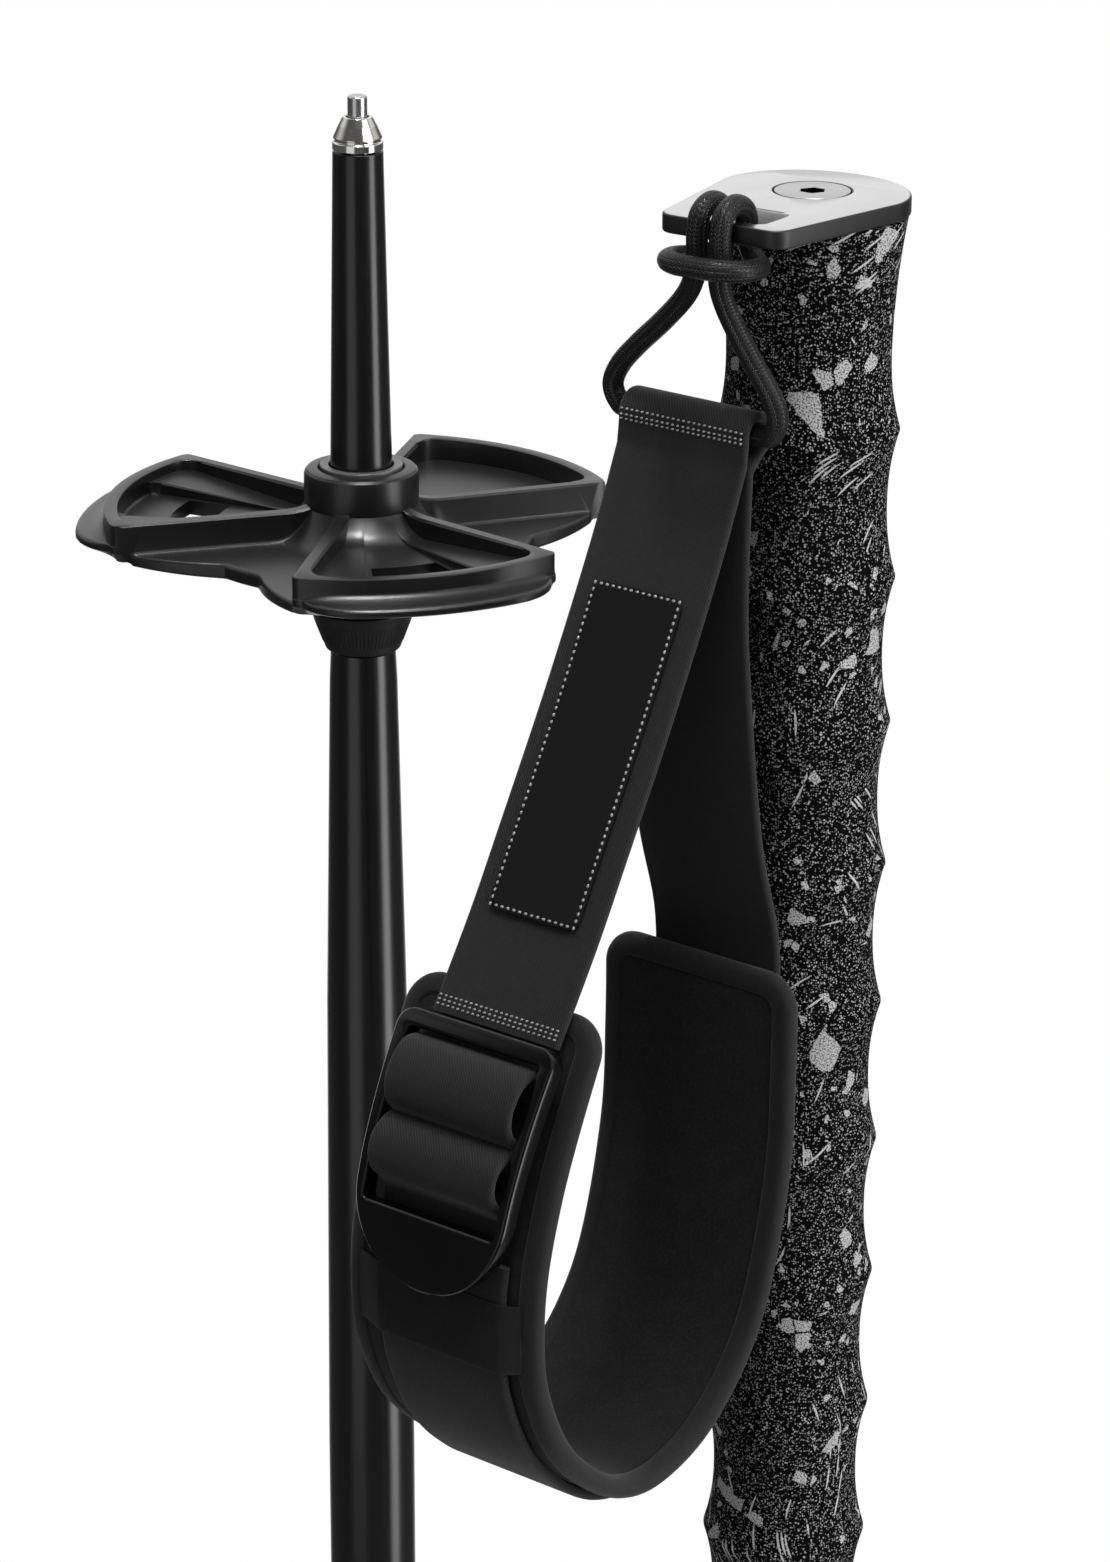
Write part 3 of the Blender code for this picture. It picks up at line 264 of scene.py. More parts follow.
OVER_BAR = (
    (2.1, HITCH_FRONT, -4.6), (2.1, HITCH_FRONT, -1.2), (2.1, HITCH_FRONT + 0.9, 1.5), (2.1, -25.6, 2.7),
    (2.1, HITCH_REAR - 0.9, 1.5), (2.1, HITCH_REAR, -1.2), (2.3, HITCH_REAR, -3.6),
    (3.6, HITCH_REAR - 0.4, -5.9), (6.0, -24.2, -6.5), (7.2, -27.6, -6.2), (6.3, -31.0, -5.9),
    (3.4, HITCH_FRONT - 3.8, -5.7),
)


def strap_yaw(side):
    """How far the strap is turned about the plumb line, from the axis of its own hinge."""
    axis = JOINTS[side + "_strap_swing"]["axis"]
    return math.atan2(-axis[1], -axis[0])


def bar_place(side, yaw=0.0):
    """The plate's axes at the bar, turned about the plumb line. Both cords hang down."""
    pivot = Matrix.Translation(JOINTS[side + "_cord_swing"]["pos_m"])
    return pivot @ Matrix.Rotation(yaw, 4, "Z") @ Matrix.Translation(-BAR)


def in_metres(points):
    return [Vector(p) * MM for p in points]


def smooth_line(points, spans):
    """Points on a smooth curve that passes through the given ones."""
    knots = [Vector(p) for p in points]
    line = []
    for i in range(len(knots) - 1):
        before = knots[max(i - 1, 0)]
        here = knots[i]
        after = knots[i + 1]
        beyond = knots[min(i + 2, len(knots) - 1)]
        for step in range(spans):
            t = step / spans
            line.append(0.5 * (
                2 * here + (after - before) * t
                + (2 * before - 5 * here + 4 * after - beyond) * t ** 2
                + (3 * here - before - 3 * after + beyond) * t ** 3
            ))
    line.append(knots[-1])
    return line


def run_lengths(line):
    """The distance of each point along its line."""
    lengths = [0.0]
    for here, after in zip(line, line[1:]):
        lengths.append(lengths[-1] + (after - here).length)
    return lengths


def headings(line):
    """The direction of a line at each of its points."""
    last = len(line) - 1
    return [(line[min(i + 1, last)] - line[max(i - 1, 0)]).normalized() for i in range(len(line))]


def close_up(mesh, sharp=35.0):
    """Merges a mesh's seams, turns its faces outwards and shades it smooth up to an angle."""
    shape = bmesh.new()
    shape.from_mesh(mesh)
    bmesh.ops.remove_doubles(shape, verts=shape.verts, dist=1e-7)
    bmesh.ops.recalc_face_normals(shape, faces=shape.faces)
    shape.to_mesh(mesh)
    shape.free()
    mesh.shade_smooth()
    mesh.set_sharp_from_angle(angle=math.radians(sharp))
    return mesh


def skin(rows, ring=False, unrolled=None, sharp=35.0):
    """A closed mesh over rows of points, each a loop. They form a tube, or with ring a closed ring.
    unrolled gives a place on the flat cloth for a row and a column, and becomes the mesh's UV map."""
    count = len(rows[0])
    last = len(rows) - 1
    loops = []
    for i in range(last + ring):
        loops += [((i, j), (i, j + 1), (i + 1, j + 1), (i + 1, j)) for j in range(count)]
    if not ring:
        loops += [[(i, j) for j in range(count)] for i in (0, last)]
    mesh = bpy.data.meshes.new("skin")
    faces = [[(i % len(rows)) * count + j % count for i, j in loop] for loop in loops]
    mesh.from_pydata([tuple(p) for row in rows for p in row], [], faces)
    if unrolled:
        layer = mesh.uv_layers.new(name="cloth")
        layer.data.foreach_set("uv", [value for loop in loops for i, j in loop for value in unrolled(i, j)])
    return close_up(mesh, sharp)


def round_tube(line, radius, sides):
    """A cord's mesh round a line, with its skin unrolled into metres round and along."""
    lengths = run_lengths(line)
    side = Vector((0.0, 0.0, 1.0))
    rows = []
    for here, run in zip(line, headings(line)):
        side = (side - run * side.dot(run)).normalized()
        other = run.cross(side)
        rows.append([here + (side * math.cos(a) + other * math.sin(a)) * radius for a in around(sides)])
    return skin(rows, unrolled=lambda i, j: (2 * math.pi * radius * j / sides, lengths[i]))


def new_finish(name, drawn_on="Object", specular=0.5, metallic=0.0, sheen=0.0):
    """A Principled material, and a wire from the coordinate that its pattern is drawn on."""
    finish = bpy.data.materials.new(name)
    finish.use_nodes = True
    plain = {"Specular IOR Level": specular, "Metallic": metallic, "Sheen Weight": sheen}
    for socket, value in plain.items():
        finish.node_tree.nodes["Principled BSDF"].inputs[socket].default_value = value
    return finish, Wire(finish.node_tree).node("ShaderNodeTexCoord", out=drawn_on)


def dress(colour, roughness, height, depth, strength=1.0):
    """Feeds a finish: colour, roughness, and a height from 0 to 1 as relief of a depth in millimetres."""
    colour.feed("Base Color")
    roughness.feed("Roughness")
    relief = {"Strength": strength, "Distance": depth * MM, "Height": height}
    height.node("ShaderNodeBump", {}, relief).feed("Normal")


def add_piece(side, name, mesh, finish, body, slot, node=None):
    """Puts a mesh in the scene: on a body of its pole, with a finish, and in place of a CAD node."""
    mesh.name = f"{side}_{name}"
    mesh.materials.clear()
    mesh.materials.append(finish)
    piece = put(f"{side}_{name}", mesh)
    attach(piece, f"{side}_{body}")
    if node:
        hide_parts(f"{side}_{node}")
    return piece


cord_finish, cloth = new_finish("braided_cord", "UV", specular=0.4)
column = (cloth.axis("X") * (BRAID_COLUMNS / (2 * math.pi * CORD_RADIUS))).part()
from_spine = abs(column - 0.5) * 2.0
strand = (cloth.axis("Y") / BRAID_PITCH + from_spine * 0.85).waves(1.0) * 0.5 + 0.5
crown = strand.rise(0.0, 0.75) * from_spine.rise(1.05, 0.55)
lint = cloth.noise(2600.0)
# Painted sheen and shade: the strands' crowns are painted lighter as a sheen, and the grooves between them
# darker as shade, with a mottle of lint.
lint_and_painted_sheen_tone = (crown * (lint * 0.8 + 0.6)).tint(0.0003, 0.0035)
dress(lint_and_painted_sheen_tone, crown * -0.12 + 0.46, crown + lint * 0.1, 0.16)

for side in SIDES:
    hitch = bar_place(side)
    legs = bar_place(side, strap_yaw(side))
    over_left = [(-x, y, z) for x, y, z in OVER_BAR]
    route = [legs @ p for p in in_metres(LEFT_LEG)]
    route += [hitch @ p for p in in_metres(over_left + [HITCH_MIDDLE] + list(reversed(OVER_BAR)))]
    route += [legs @ p for p in in_metres(reversed(RIGHT_LEG))]
    line = smooth_line(route, CORD_STEPS)
    cord_mesh = round_tube(line, CORD_RADIUS, CORD_SIDES)
    cord = add_piece(side, "wrist_loop", cord_mesh, cord_finish, "cord_loop", "cord", "wrist_cord")
    run_lengths(line)[-1]

# The shaft of each pole: a drawn aluminium tube, 16 mm across and drawn down to 11.5 mm at the tip end. It is
# lacquered satin black, with a very fine orange peel and the faint lengthwise rubs of use.
POLE_LENGTH = 1200.0
LATHE_SIDES = 96
SHAFT_WALL = 1.2
SHAFT_EDGE = 0.4
SHAFT_LINE = ((8.0, -3.3), (8.0, -945.0), (7.25, -1034.0), (6.02, -1095.4), (5.75, -1101.3))


def pole_place(side):
    """A pole's own axes: the outer face of its top plate at height 0, and the tip 1.2 m below it."""
    plate_low, plate_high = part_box(side + "_top_plate")
    shaft_low, shaft_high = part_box(side + "_shaft")
    axis = (shaft_low + shaft_high) / 2
    if side == "right":
        return Matrix.Translation((axis.x, axis.y, plate_high.z))
    return Matrix.Translation((axis.x, axis.y, plate_low.z)) @ Matrix.Rotation(math.pi, 4, "Y")


def add_pairs(place, *pieces):
    """The same pieces on both poles, each with its own copy of a mesh that is drawn in the axes of place."""
    for side in SIDES:
        for name, mesh, *rest in pieces:
            copy = mesh.copy()
            copy.transform(place(side))
            add_piece(side, name, copy, *rest)
    for name, mesh, *rest in pieces:
        bpy.data.meshes.remove(mesh)


def eased(points, cut, closed=True, steps=4):
    """Rounds the corners of a run of points by a cut, and holds the flats beside them flat."""
    knots = [Vector(p) for p in points]
    line = []
    for i, here in enumerate(knots):
        if not closed and i in (0, len(knots) - 1):
            line.append(here)
            continue
        arms = (knots[i - 1] - here, knots[(i + 1) % len(knots)] - here)
        reach = min(cut, 0.4 * arms[0].length, 0.4 * arms[1].length)
        start, end = (here + arm.normalized() * reach for arm in arms)
        holds = [[here + arm.normalized() * reach * 1.8] if arm.length > 4 * reach else [] for arm in arms]
        shares = [step / steps for step in range(steps + 1)]
        bend = [start * (1 - t) ** 2 + here * 2 * t * (1 - t) + end * t ** 2 for t in shares]
        line += holds[0] + bend + holds[1]
    return line


def turned(profile, sides=LATHE_SIDES):
    """A lathe shape from (radius, height) points in millimetres, in the pole's axes."""
    rows = [[(r * MM * math.cos(a), r * MM * math.sin(a), z * MM) for a in around(sides)] for r, z in profile]
    return skin(rows, ring=profile[0][0] > 0.0)


shaft_finish, spot = new_finish("shaft_lacquer", specular=0.55)
peel = spot.noise(1500.0)
rubs = spot.stretch(1600.0, 1600.0, 14.0).noise(1.0, 3.0)
clouds = spot.noise(40.0, 3.0)
rubbed = rubs.rise(0.45, 0.75).tint(0.0045, 0.0075)
dress(rubbed, rubs * 0.06 + clouds * 0.05 + 0.2, peel, 0.004, 0.5)

inside = [(r - SHAFT_WALL, z) for r, z in reversed(SHAFT_LINE)]
shaft_mesh = turned(eased(SHAFT_LINE + tuple(inside), SHAFT_EDGE))
add_pairs(pole_place, ("shaft_tube", shaft_mesh, shaft_finish, "pole", "shaft", "shaft"))

# The tip: a tapered black sleeve pressed into the shaft's end, with a nickel-plated ferrule in its mouth and
# a ground carbide pin in that. The ferrule has a dark turned groove between its cone and its rim.
COLLAR_END = 98.4
SPIGOT_END = COLLAR_END + 34.0
SPIGOT_RADIUS = SHAFT_LINE[-1][0] - SHAFT_WALL - 0.3
SEAT_RADIUS = 5.4
SLEEVE_MOUTH = 9.5
SLEEVE_LINE = (
    (0.0, SPIGOT_END), (SPIGOT_RADIUS, SPIGOT_END), (SPIGOT_RADIUS, COLLAR_END), (SEAT_RADIUS, COLLAR_END),
    (SEAT_RADIUS, 64.6), (4.38, SLEEVE_MOUTH), (2.8, SLEEVE_MOUTH), (2.8, 19.5), (0.0, 19.5),
)
FERRULE_LINE = (
    (2.5, 19.2), (2.5, 9.2), (4.43, 9.2), (4.43, 7.95), (4.05, 7.75), (4.05, 7.4), (4.3, 7.2), (3.35, 5.1),
    (2.55, 3.6), (2.0, 3.6), (2.0, 19.2),
)
PIN_LINE = ((0.0, 13.0), (1.7, 13.0), (1.7, 0.3), (1.4, 0.0), (0.6, 0.18), (0.0, 0.3))


def from_tip(points, cut):
    """A lathe shape whose heights are distances from the tip. A line that starts on the axis is open."""
    return turned([(r, d - POLE_LENGTH) for r, d in eased(points, cut, closed=points[0][0] > 0.0)])


def grained(name, scale, detail, tones, rough, relief, **plain):
    """A finish with one fine grain, which sets its colour, its roughness and its relief."""
    finish, spot = new_finish(name, **plain)
    grain = spot.noise(scale, detail)
    dress(grain.tint(*tones), grain * rough[0] + rough[1], grain, *relief)
    return finish


sleeve_finish, spot = new_finish("sleeve_black")
handling = spot.stretch(300.0, 300.0, 60.0).noise(1.0, 4.0)
handled = handling.rise(0.5, 0.8).tint(0.0045, 0.009)
dress(handled, handling * 0.12 + 0.18, spot.noise(2200.0), 0.004, 0.5)

nickel_finish, spot = new_finish("polished_nickel", metallic=1.0)
lathe_marks = spot.stretch(90.0, 90.0, 9000.0).noise(1.0)
tarnish = spot.noise(400.0, 4.0)
tarnished = tarnish.rise(0.5, 0.85).tint((0.72, 0.70, 0.66, 1.0), (0.5, 0.48, 0.44, 1.0))
dress(tarnished, tarnish * 0.1 + lathe_marks * 0.05 + 0.06, lathe_marks, 0.003, 0.5)

carbide_finish = grained("ground_carbide", 6000.0, 2.0, (0.42, 0.58), (0.15, 0.2), (0.006, 0.6), metallic=1.0)
add_pairs(
    pole_place,
    ("tip_taper", from_tip(SLEEVE_LINE, 0.3), sleeve_finish, "pole", "sleeve", "tip_sleeve"),
    ("tip_cap", from_tip(FERRULE_LINE, 0.12), nickel_finish, "pole", "ferrule", "tip_ferrule"),
    ("tip_pin", from_tip(PIN_LINE, 0.1), carbide_finish, "pole", "pin", "carbide_pin"),
)

# The basket: one injection moulding in black nylon with three petals. A hub and a boss run on the sleeve.
# Each petal is a walled tray with a coved lip, and two have sloping ledges and a slot through the floor.
PETALS = 3
PETAL_PITCH = 2 * math.pi / PETALS
PLAIN_PETAL = 1
BASKET_TURN = math.radians(-23.4)
WALL_ANGLE = math.radians(28.4)
WALL_THICKNESS = 2.5
WALL_OUTER = 45.0
WALL_INNER = WALL_OUTER - WALL_THICKNESS
WALL_CORNER = 1.6
TRAY_CORNER = 3.4
POCKET_CORNER = 2.2
LIP_RADIUS = 50.0
LIP_CORNER = 11.5
LIP_LEAST = 0.3
LIP_NOSE = 0.9
LIP_DROP = 0.7
LIP_FOOT = 1.0
LIP_UNDER = ((0.0, 76.8), (0.15, 77.1), (0.45, 77.3))
POCKET_ANGLE = math.radians(14.5)
SLOT_ANGLE = math.radians(12.8)
SLOT_STEPS = 6
SLOT_INNER = 26.0
SLOT_OUTER = 34.2
HUB_RADIUS = 10.05
BORE_RADIUS = 5.7
HUB_LINE = (
    (BORE_RADIUS, 66.5), (7.55, 66.5), (7.55, 65.55), (7.7, 65.4), (8.8, 65.4), (9.45, 65.58), (9.86, 66.0),
    (HUB_RADIUS, 66.6),
)
BOSS_LINE = ((12.3, 80.4), (11.6, 81.2), (9.75, 90.2), (9.4, 90.5), (6.0, 90.5), (BORE_RADIUS, 90.2))
FLARE_END = 17.0
FLARE_TOP = 71.9
FLARE_POWER = 2.6
NOTCH_RADIUS = 30.1
NOTCH_EDGE = 41.9
NOTCH_FLAT = 0.27
NOTCH_EASE = 0.08
NOTCH_STEPS = 14
WALL_TOP = 72.0
CREST_CURL = 0.6
CREST_REACH = 4.0
COVE_TOP = 74.3
COVE_DEPTH = 1.45
FLOOR_TOP = 76.0
FLOOR_UNDER = 78.6
LEDGE_LIFT = 0.3
LEDGE_SLOPE = 0.066
LEDGE_START = 13.0
WEB_TOP = 77.3
WEB_UNDER = 80.0
WEB_SLOPE = 0.06
WEB_TURN = (0.9, 0.6)
WEB_FILLET = ((0.0, 0.6), (0.15, 0.25), (0.4, 0.0))
FLOOR_RADII = (
    10.05, 10.2, 10.6, 11.3, 12.4, 13.8, 15.4, 17.2, 21.0, SLOT_INNER, 29.5, SLOT_OUTER, 35.5, 38.0,
)
EASE = 0.35
CUT = 0.1
HAIR = 0.02
POCKET_ROUND = 0.85
FOOT_ROUND = 0.86
POCKET_STEPS = (1.2, 0.7, 0.3, HAIR)
FOOT_STEPS = (7.5, 5.5, 4.0, 2.7, 1.7, 0.9, 0.35, HAIR)
CREST_STEPS = (EASE, 0.9, 1.6, WALL_THICKNESS - EASE)
WASHER_LINE = ((BORE_RADIUS, 64.9), (BORE_RADIUS, 66.2), (7.25, 66.2), (7.25, 64.9))


def pocket_level(radius):
    return FLOOR_TOP


def ledge_level(radius):
    """The ledges beside a pocket rise towards the petal's outer wall."""
    return FLOOR_TOP - LEDGE_LIFT - LEDGE_SLOPE * (radius - LEDGE_START)


def crest_level(radius):
    """The top of the side walls, which curls up where it meets the hub."""
    return WALL_TOP - CREST_CURL * max(0.0, 1.0 - (radius - HUB_RADIUS) / CREST_REACH) ** 2


def with_flare(level, radius):
    """A level, drawn up to the foot of the hub in a flare."""
    short = max(0.0, 1.0 - (radius - HUB_RADIUS) / (FLARE_END - HUB_RADIUS))
    return level(radius) - max(0.0, level(radius) - FLARE_TOP) * short ** FLARE_POWER


def corner_cut(radius, short):
    """How far a rounded corner draws in, at a distance short of its end."""
    return radius - math.sqrt(max(radius ** 2 - max(radius - short, 0.0) ** 2, 0.0))


def quarter(count):
    return [math.pi / 2 * i / count for i in range(count + 1)]


def petal_section(level, shelf, foot, short):
    """A cut through a petal, (radius, distance from the tip), down its upper side and back along its lower.
    The floor is at one level out to a foot, then on a shelf's; short is the way to the petal's end."""
    inner = WALL_INNER - corner_cut(TRAY_CORNER, short - WALL_THICKNESS)
    outer = WALL_OUTER - corner_cut(WALL_CORNER, short)
    lip = max(LIP_RADIUS - corner_cut(LIP_CORNER, short), outer + LIP_LEAST)
    foot = min(foot, inner)
    rim = min(WALL_TOP + EASE, shelf(inner))
    up = [(min(r, foot - EASE), with_flare(level, r)) for r in FLOOR_RADII]
    up += [(foot - EASE, level(foot)), (foot, max(level(foot) - EASE, shelf(foot))), (foot, shelf(foot))]
    up += [(inner, shelf(inner)), (inner, rim), (inner + CUT, min(WALL_TOP + CUT, rim))]
    up += [(inner + EASE, WALL_TOP), (outer - EASE, WALL_TOP)]
    up += [(outer - CUT, WALL_TOP + CUT), (outer, WALL_TOP + EASE)]
    nose = min(LIP_NOSE, (lip - outer) / 2)
    sweep = lip - outer - nose
    up += [(outer + sweep * (1 - math.cos(a)), COVE_TOP + COVE_DEPTH * math.sin(a)) for a in quarter(8)]
    nose_top = COVE_TOP + COVE_DEPTH
    up += [(lip - nose + nose * math.sin(a), nose_top + LIP_DROP * (1 - math.cos(a))) for a in quarter(4)[1:]]
    up += [(lip - inward, d) for inward, d in LIP_UNDER] + [(outer - LIP_FOOT, FLOOR_UNDER)]
    return list(HUB_LINE) + up + under_section(SLOT_OUTER, FLOOR_UNDER)


def under_section(edge, level):
    """The underside in to the boss, and down the boss to the bore."""
    return [(min(r, edge), level) for r in (SLOT_OUTER, SLOT_INNER, 19.0, 14.5)] + list(BOSS_LINE)


def gap_section(edge, lift):
    """A cut between two petals: the lower floor there, out to the rounded edge of its notch."""
    over, below = WEB_TURN
    top = WEB_TOP - lift
    low = WEB_UNDER - WEB_SLOPE * (edge - NOTCH_RADIUS)
    flat = edge - over
    floor = [(min(r, flat - 0.05 * (len(FLOOR_RADII) - i)), r) for i, r in enumerate(FLOOR_RADII)]
    up = [(r, with_flare(lambda at: top, at)) for r, at in floor]
    under = under_section(flat - below, low)
    spare = SECTION_POINTS - len(HUB_LINE) - len(up) - len(under)
    rim = [(flat + over * math.sin(a), top + over * (1 - math.cos(a))) for a in quarter(spare // 2)]
    rest = quarter(spare - len(rim) - 1)
    rim += [(edge - below * (1 - math.cos(a)), low - below * (1 - math.sin(a))) for a in rest]
    return list(HUB_LINE) + up + rim + under


def between(one, other, share):
    return [(a + (c - a) * share, b + (d - b) * share) for (a, b), (c, d) in zip(one, other)]


def half_petal(ledged):
    """Stations from a petal's middle to the middle of the gap beside it. Each has a section, an angle, a way
    on from it in mm, and a share of the way from there to a second angle."""
    shelf = ledge_level if ledged else pocket_level
    far = WALL_OUTER
    stations = []

    def station(section, angle, on=0.0, share=0.0, towards=0.0):
        stations.append((section, angle, on, share, towards))

    def crest(short):
        return petal_section(crest_level, crest_level, WALL_INNER, short)

    pocket = petal_section(pocket_level, shelf, WALL_INNER, far)
    ledge = petal_section(shelf, shelf, WALL_INNER, far)
    for i in range(SLOT_STEPS + 1):
        station(pocket, SLOT_ANGLE * i / SLOT_STEPS)
    for clear in POCKET_STEPS:
        beside = petal_section(pocket_level, shelf, WALL_INNER - corner_cut(POCKET_CORNER, clear), far)
        station(beside, POCKET_ANGLE - clear / WALL_INNER)
    station(between(beside, ledge, POCKET_ROUND), POCKET_ANGLE)
    station(ledge, POCKET_ANGLE + EASE / WALL_INNER)
    run = (WALL_ANGLE - POCKET_ANGLE) * WALL_INNER
    for clear in FOOT_STEPS:
        foot_of_wall = petal_section(shelf, shelf, WALL_INNER, WALL_THICKNESS + clear)
        station(foot_of_wall, WALL_ANGLE, 0.0, clear / run, POCKET_ANGLE)
    station(between(foot_of_wall, crest(WALL_THICKNESS), FOOT_ROUND), WALL_ANGLE)
    for on in CREST_STEPS:
        station(crest(WALL_THICKNESS - on), WALL_ANGLE, on)
    end = [(r, d + EASE) if r > HUB_RADIUS and d < COVE_TOP else (r, d) for r, d in crest(0.0)]
    station(end, WALL_ANGLE, WALL_THICKNESS)
    for on, lift in WEB_FILLET:
        station(gap_section(NOTCH_EDGE, lift), WALL_ANGLE, WALL_THICKNESS + on + HAIR)
    foot = WALL_THICKNESS + WEB_FILLET[-1][0]
    for i in range(1, NOTCH_STEPS + 1):
        out = max(0.0, (1.0 - i / NOTCH_STEPS - NOTCH_FLAT) / (1.0 - NOTCH_FLAT))
        swell = out * out * (1.0 + NOTCH_EASE) / (out + NOTCH_EASE)
        edge = NOTCH_RADIUS + (NOTCH_EDGE - NOTCH_RADIUS) * swell
        station(gap_section(edge, 0.0), WALL_ANGLE, foot, i / NOTCH_STEPS, PETAL_PITCH / 2)
    return stations


def basket_mesh():
    """The whole moulding: half petals and their mirror images round the hub, with the slots cut through."""
    rows, slotted = [], []
    for petal in range(PETALS):
        ledged = petal != PLAIN_PETAL
        half = half_petal(ledged)
        middle = BASKET_TURN + petal * PETAL_PITCH
        whole = [(-1, station) for station in reversed(half[1:-1])] + [(1, station) for station in half]
        for hand, (section, angle, on, share, towards) in whole:
            row = []
            for r, d in section:
                turn = angle + on / max(r, HUB_RADIUS)
                turn = middle + hand * (turn + (towards - turn) * share)
                row.append((r * MM * math.cos(turn), r * MM * math.sin(turn), (d - POLE_LENGTH) * MM))
            rows.append(row)
            slotted.append(ledged and angle < SLOT_ANGLE + 1e-6)
    ends = (SLOT_INNER, SLOT_OUTER)
    upper, lower = ([PETAL_LINE.index((r, d)) for r in ends] for d in (FLOOR_TOP, FLOOR_UNDER))
    faces = []
    for i in range(len(rows)):
        after = (i + 1) % len(rows)
        here, there = i * SECTION_POINTS, after * SECTION_POINTS
        cut = slotted[i] and slotted[after]
        for j in range(SECTION_POINTS):
            beside = (j + 1) % SECTION_POINTS
            if not (cut and (upper[0] <= j < upper[1] or lower[1] <= j < lower[0])):
                faces.append((here + j, here + beside, there + beside, there + j))
        for top, under in zip(upper, lower) if cut else ():
            faces.append((here + top, here + under, there + under, there + top))
        if slotted[i] and slotted[after] != slotted[i - 1]:
            loop = list(range(upper[0], upper[1] + 1)) + list(range(lower[1], lower[0] + 1))
            faces.append([here + j for j in loop])
    mesh = bpy.data.meshes.new("basket")
    mesh.from_pydata([p for row in rows for p in row], [], faces)
    return close_up(mesh, 26.0)


PETAL_LINE = petal_section(pocket_level, pocket_level, WALL_INNER, WALL_OUTER)
SECTION_POINTS = len(PETAL_LINE)
basket_finish, spot = new_finish("moulded_nylon", specular=0.46)
spark = spot.node("ShaderNodeTexVoronoi", {}, {"Vector": spot, "Scale": 2600.0}, "Distance")
scuff = spot.stretch(700.0, 700.0, 120.0).noise(1.0, 3.0)
scuffed = scuff.rise(0.55, 0.85).tint(0.006, 0.0085)
dress(scuffed, spot.noise(55.0, 4.0) * 0.08 + scuff * 0.05 + 0.27, spark, 0.012, 0.35)

washer_finish = grained("grey_washer", 900.0, 3.0, (0.05, 0.09), (0.15, 0.3), (0.01, 0.4))
add_pairs(
    pole_place,
    ("petal_basket", basket_mesh(), basket_finish, "basket_body", "basket", "basket"),
    ("hub_washer", from_tip(WASHER_LINE, 0.25), washer_finish, "pole", "ring", "basket_ring"),
)

# The lock collar under the basket: a black nylon nut that holds the basket on its seat. Its lower half is a
# cone with fine moulded ribs for the fingers, which are set round it by a Geometry Nodes tree.
COLLAR_LINE = (
    (BORE_RADIUS, 90.8), (9.35, 90.8), (9.3, 91.2), (7.1, 97.0), (6.6, COLLAR_END), (BORE_RADIUS, COLLAR_END),
)
COLLAR_RIBS = 72
RIB_ENDS = ((8.6, 93.0), (7.15, 96.9))
RIB_PROUD = 0.08
RIB_SINK = 0.3
RIB_HALF = 0.17
RIB_CREST = 0.4 * RIB_HALF


def new_tree(name, inputs):
    """A Geometry Nodes tree with named inputs, and a wire from each of them."""
    tree = bpy.data.node_groups.new(name, "GeometryNodeTree")
    for label, kind in inputs.items():
        tree.interface.new_socket(label, in_out="INPUT", socket_type="NodeSocket" + kind)
    tree.interface.new_socket("Result", in_out="OUTPUT", socket_type="NodeSocketGeometry")
    start = tree.nodes.new("NodeGroupInput")
    return tree, [Wire(tree, start.outputs[label]) for label in inputs]


def laid_out(tree, turn, finish, sockets):
    """Ends a tree: instances on points, turned by Euler angles, made real and given their finish."""
    rotation = turn.node("FunctionNodeEulerToRotation", {}, {0: turn})
    copies = turn.node("GeometryNodeInstanceOnPoints", {}, {"Rotation": rotation, **sockets})
    solid = turn.node("GeometryNodeRealizeInstances", {}, {0: copies})
    dressed = turn.node("GeometryNodeSetMaterial", {}, {"Geometry": solid, "Material": finish})
    tree.links.new(dressed.socket, tree.nodes.new("NodeGroupOutput").inputs[0])


def frozen(carrier):
    """What an object shows, as a plain mesh. The object itself is removed."""
    graph = bpy.context.evaluated_depsgraph_get()
    mesh = bpy.data.meshes.new_from_object(carrier.evaluated_get(graph))
    bpy.data.objects.remove(carrier, do_unlink=True)
    return mesh


def grown(mesh, tree, values):
    """Runs a tree on a mesh, with its inputs set by identifier."""
    carrier = put("carrier", mesh)
    step = carrier.modifiers.new("tree", "NODES")
    step.node_group = tree
    for item in tree.interface.items_tree:
        if item.in_out == "INPUT" and item.name in values:
            step[item.identifier] = values[item.name]
    return frozen(carrier)


rib_tree, (one_rib, count, finish) = new_tree("ribs_round_a_collar", {
    "Rib": "Geometry", "Count": "Int", "Finish": "Material",
})
share = one_rib.node("GeometryNodeInputIndex") / count * (2 * math.pi)
laid_out(rib_tree, share.node("ShaderNodeCombineXYZ", {}, {"Z": share}), finish, {
    "Points": one_rib.node("GeometryNodePoints", {}, {"Count": count}), "Instance": one_rib,
})

collar_finish = grained("collar_nylon", 1800.0, 3.0, (0.002, 0.004), (0.2, 0.42), (0.012, 0.4), specular=0.28)
rib_rows = []
for r, d in RIB_ENDS:
    flank = [(r - RIB_SINK, -RIB_HALF), (r, -RIB_HALF), (r + RIB_PROUD, -RIB_CREST)]
    flank += [(x, -y) for x, y in reversed(flank)]
    rib_rows.append([(x * MM, y * MM, (d - POLE_LENGTH) * MM) for x, y in flank])
ribs = grown(skin(rib_rows, sharp=60.0), rib_tree, {"Count": COLLAR_RIBS, "Finish": collar_finish})
add_pairs(
    pole_place,
    ("basket_nut", from_tip(COLLAR_LINE, 0.3), collar_finish, "pole", "collar", "lock_collar"),
    ("nut_ribs", ribs, collar_finish, "pole", "collar"),
)

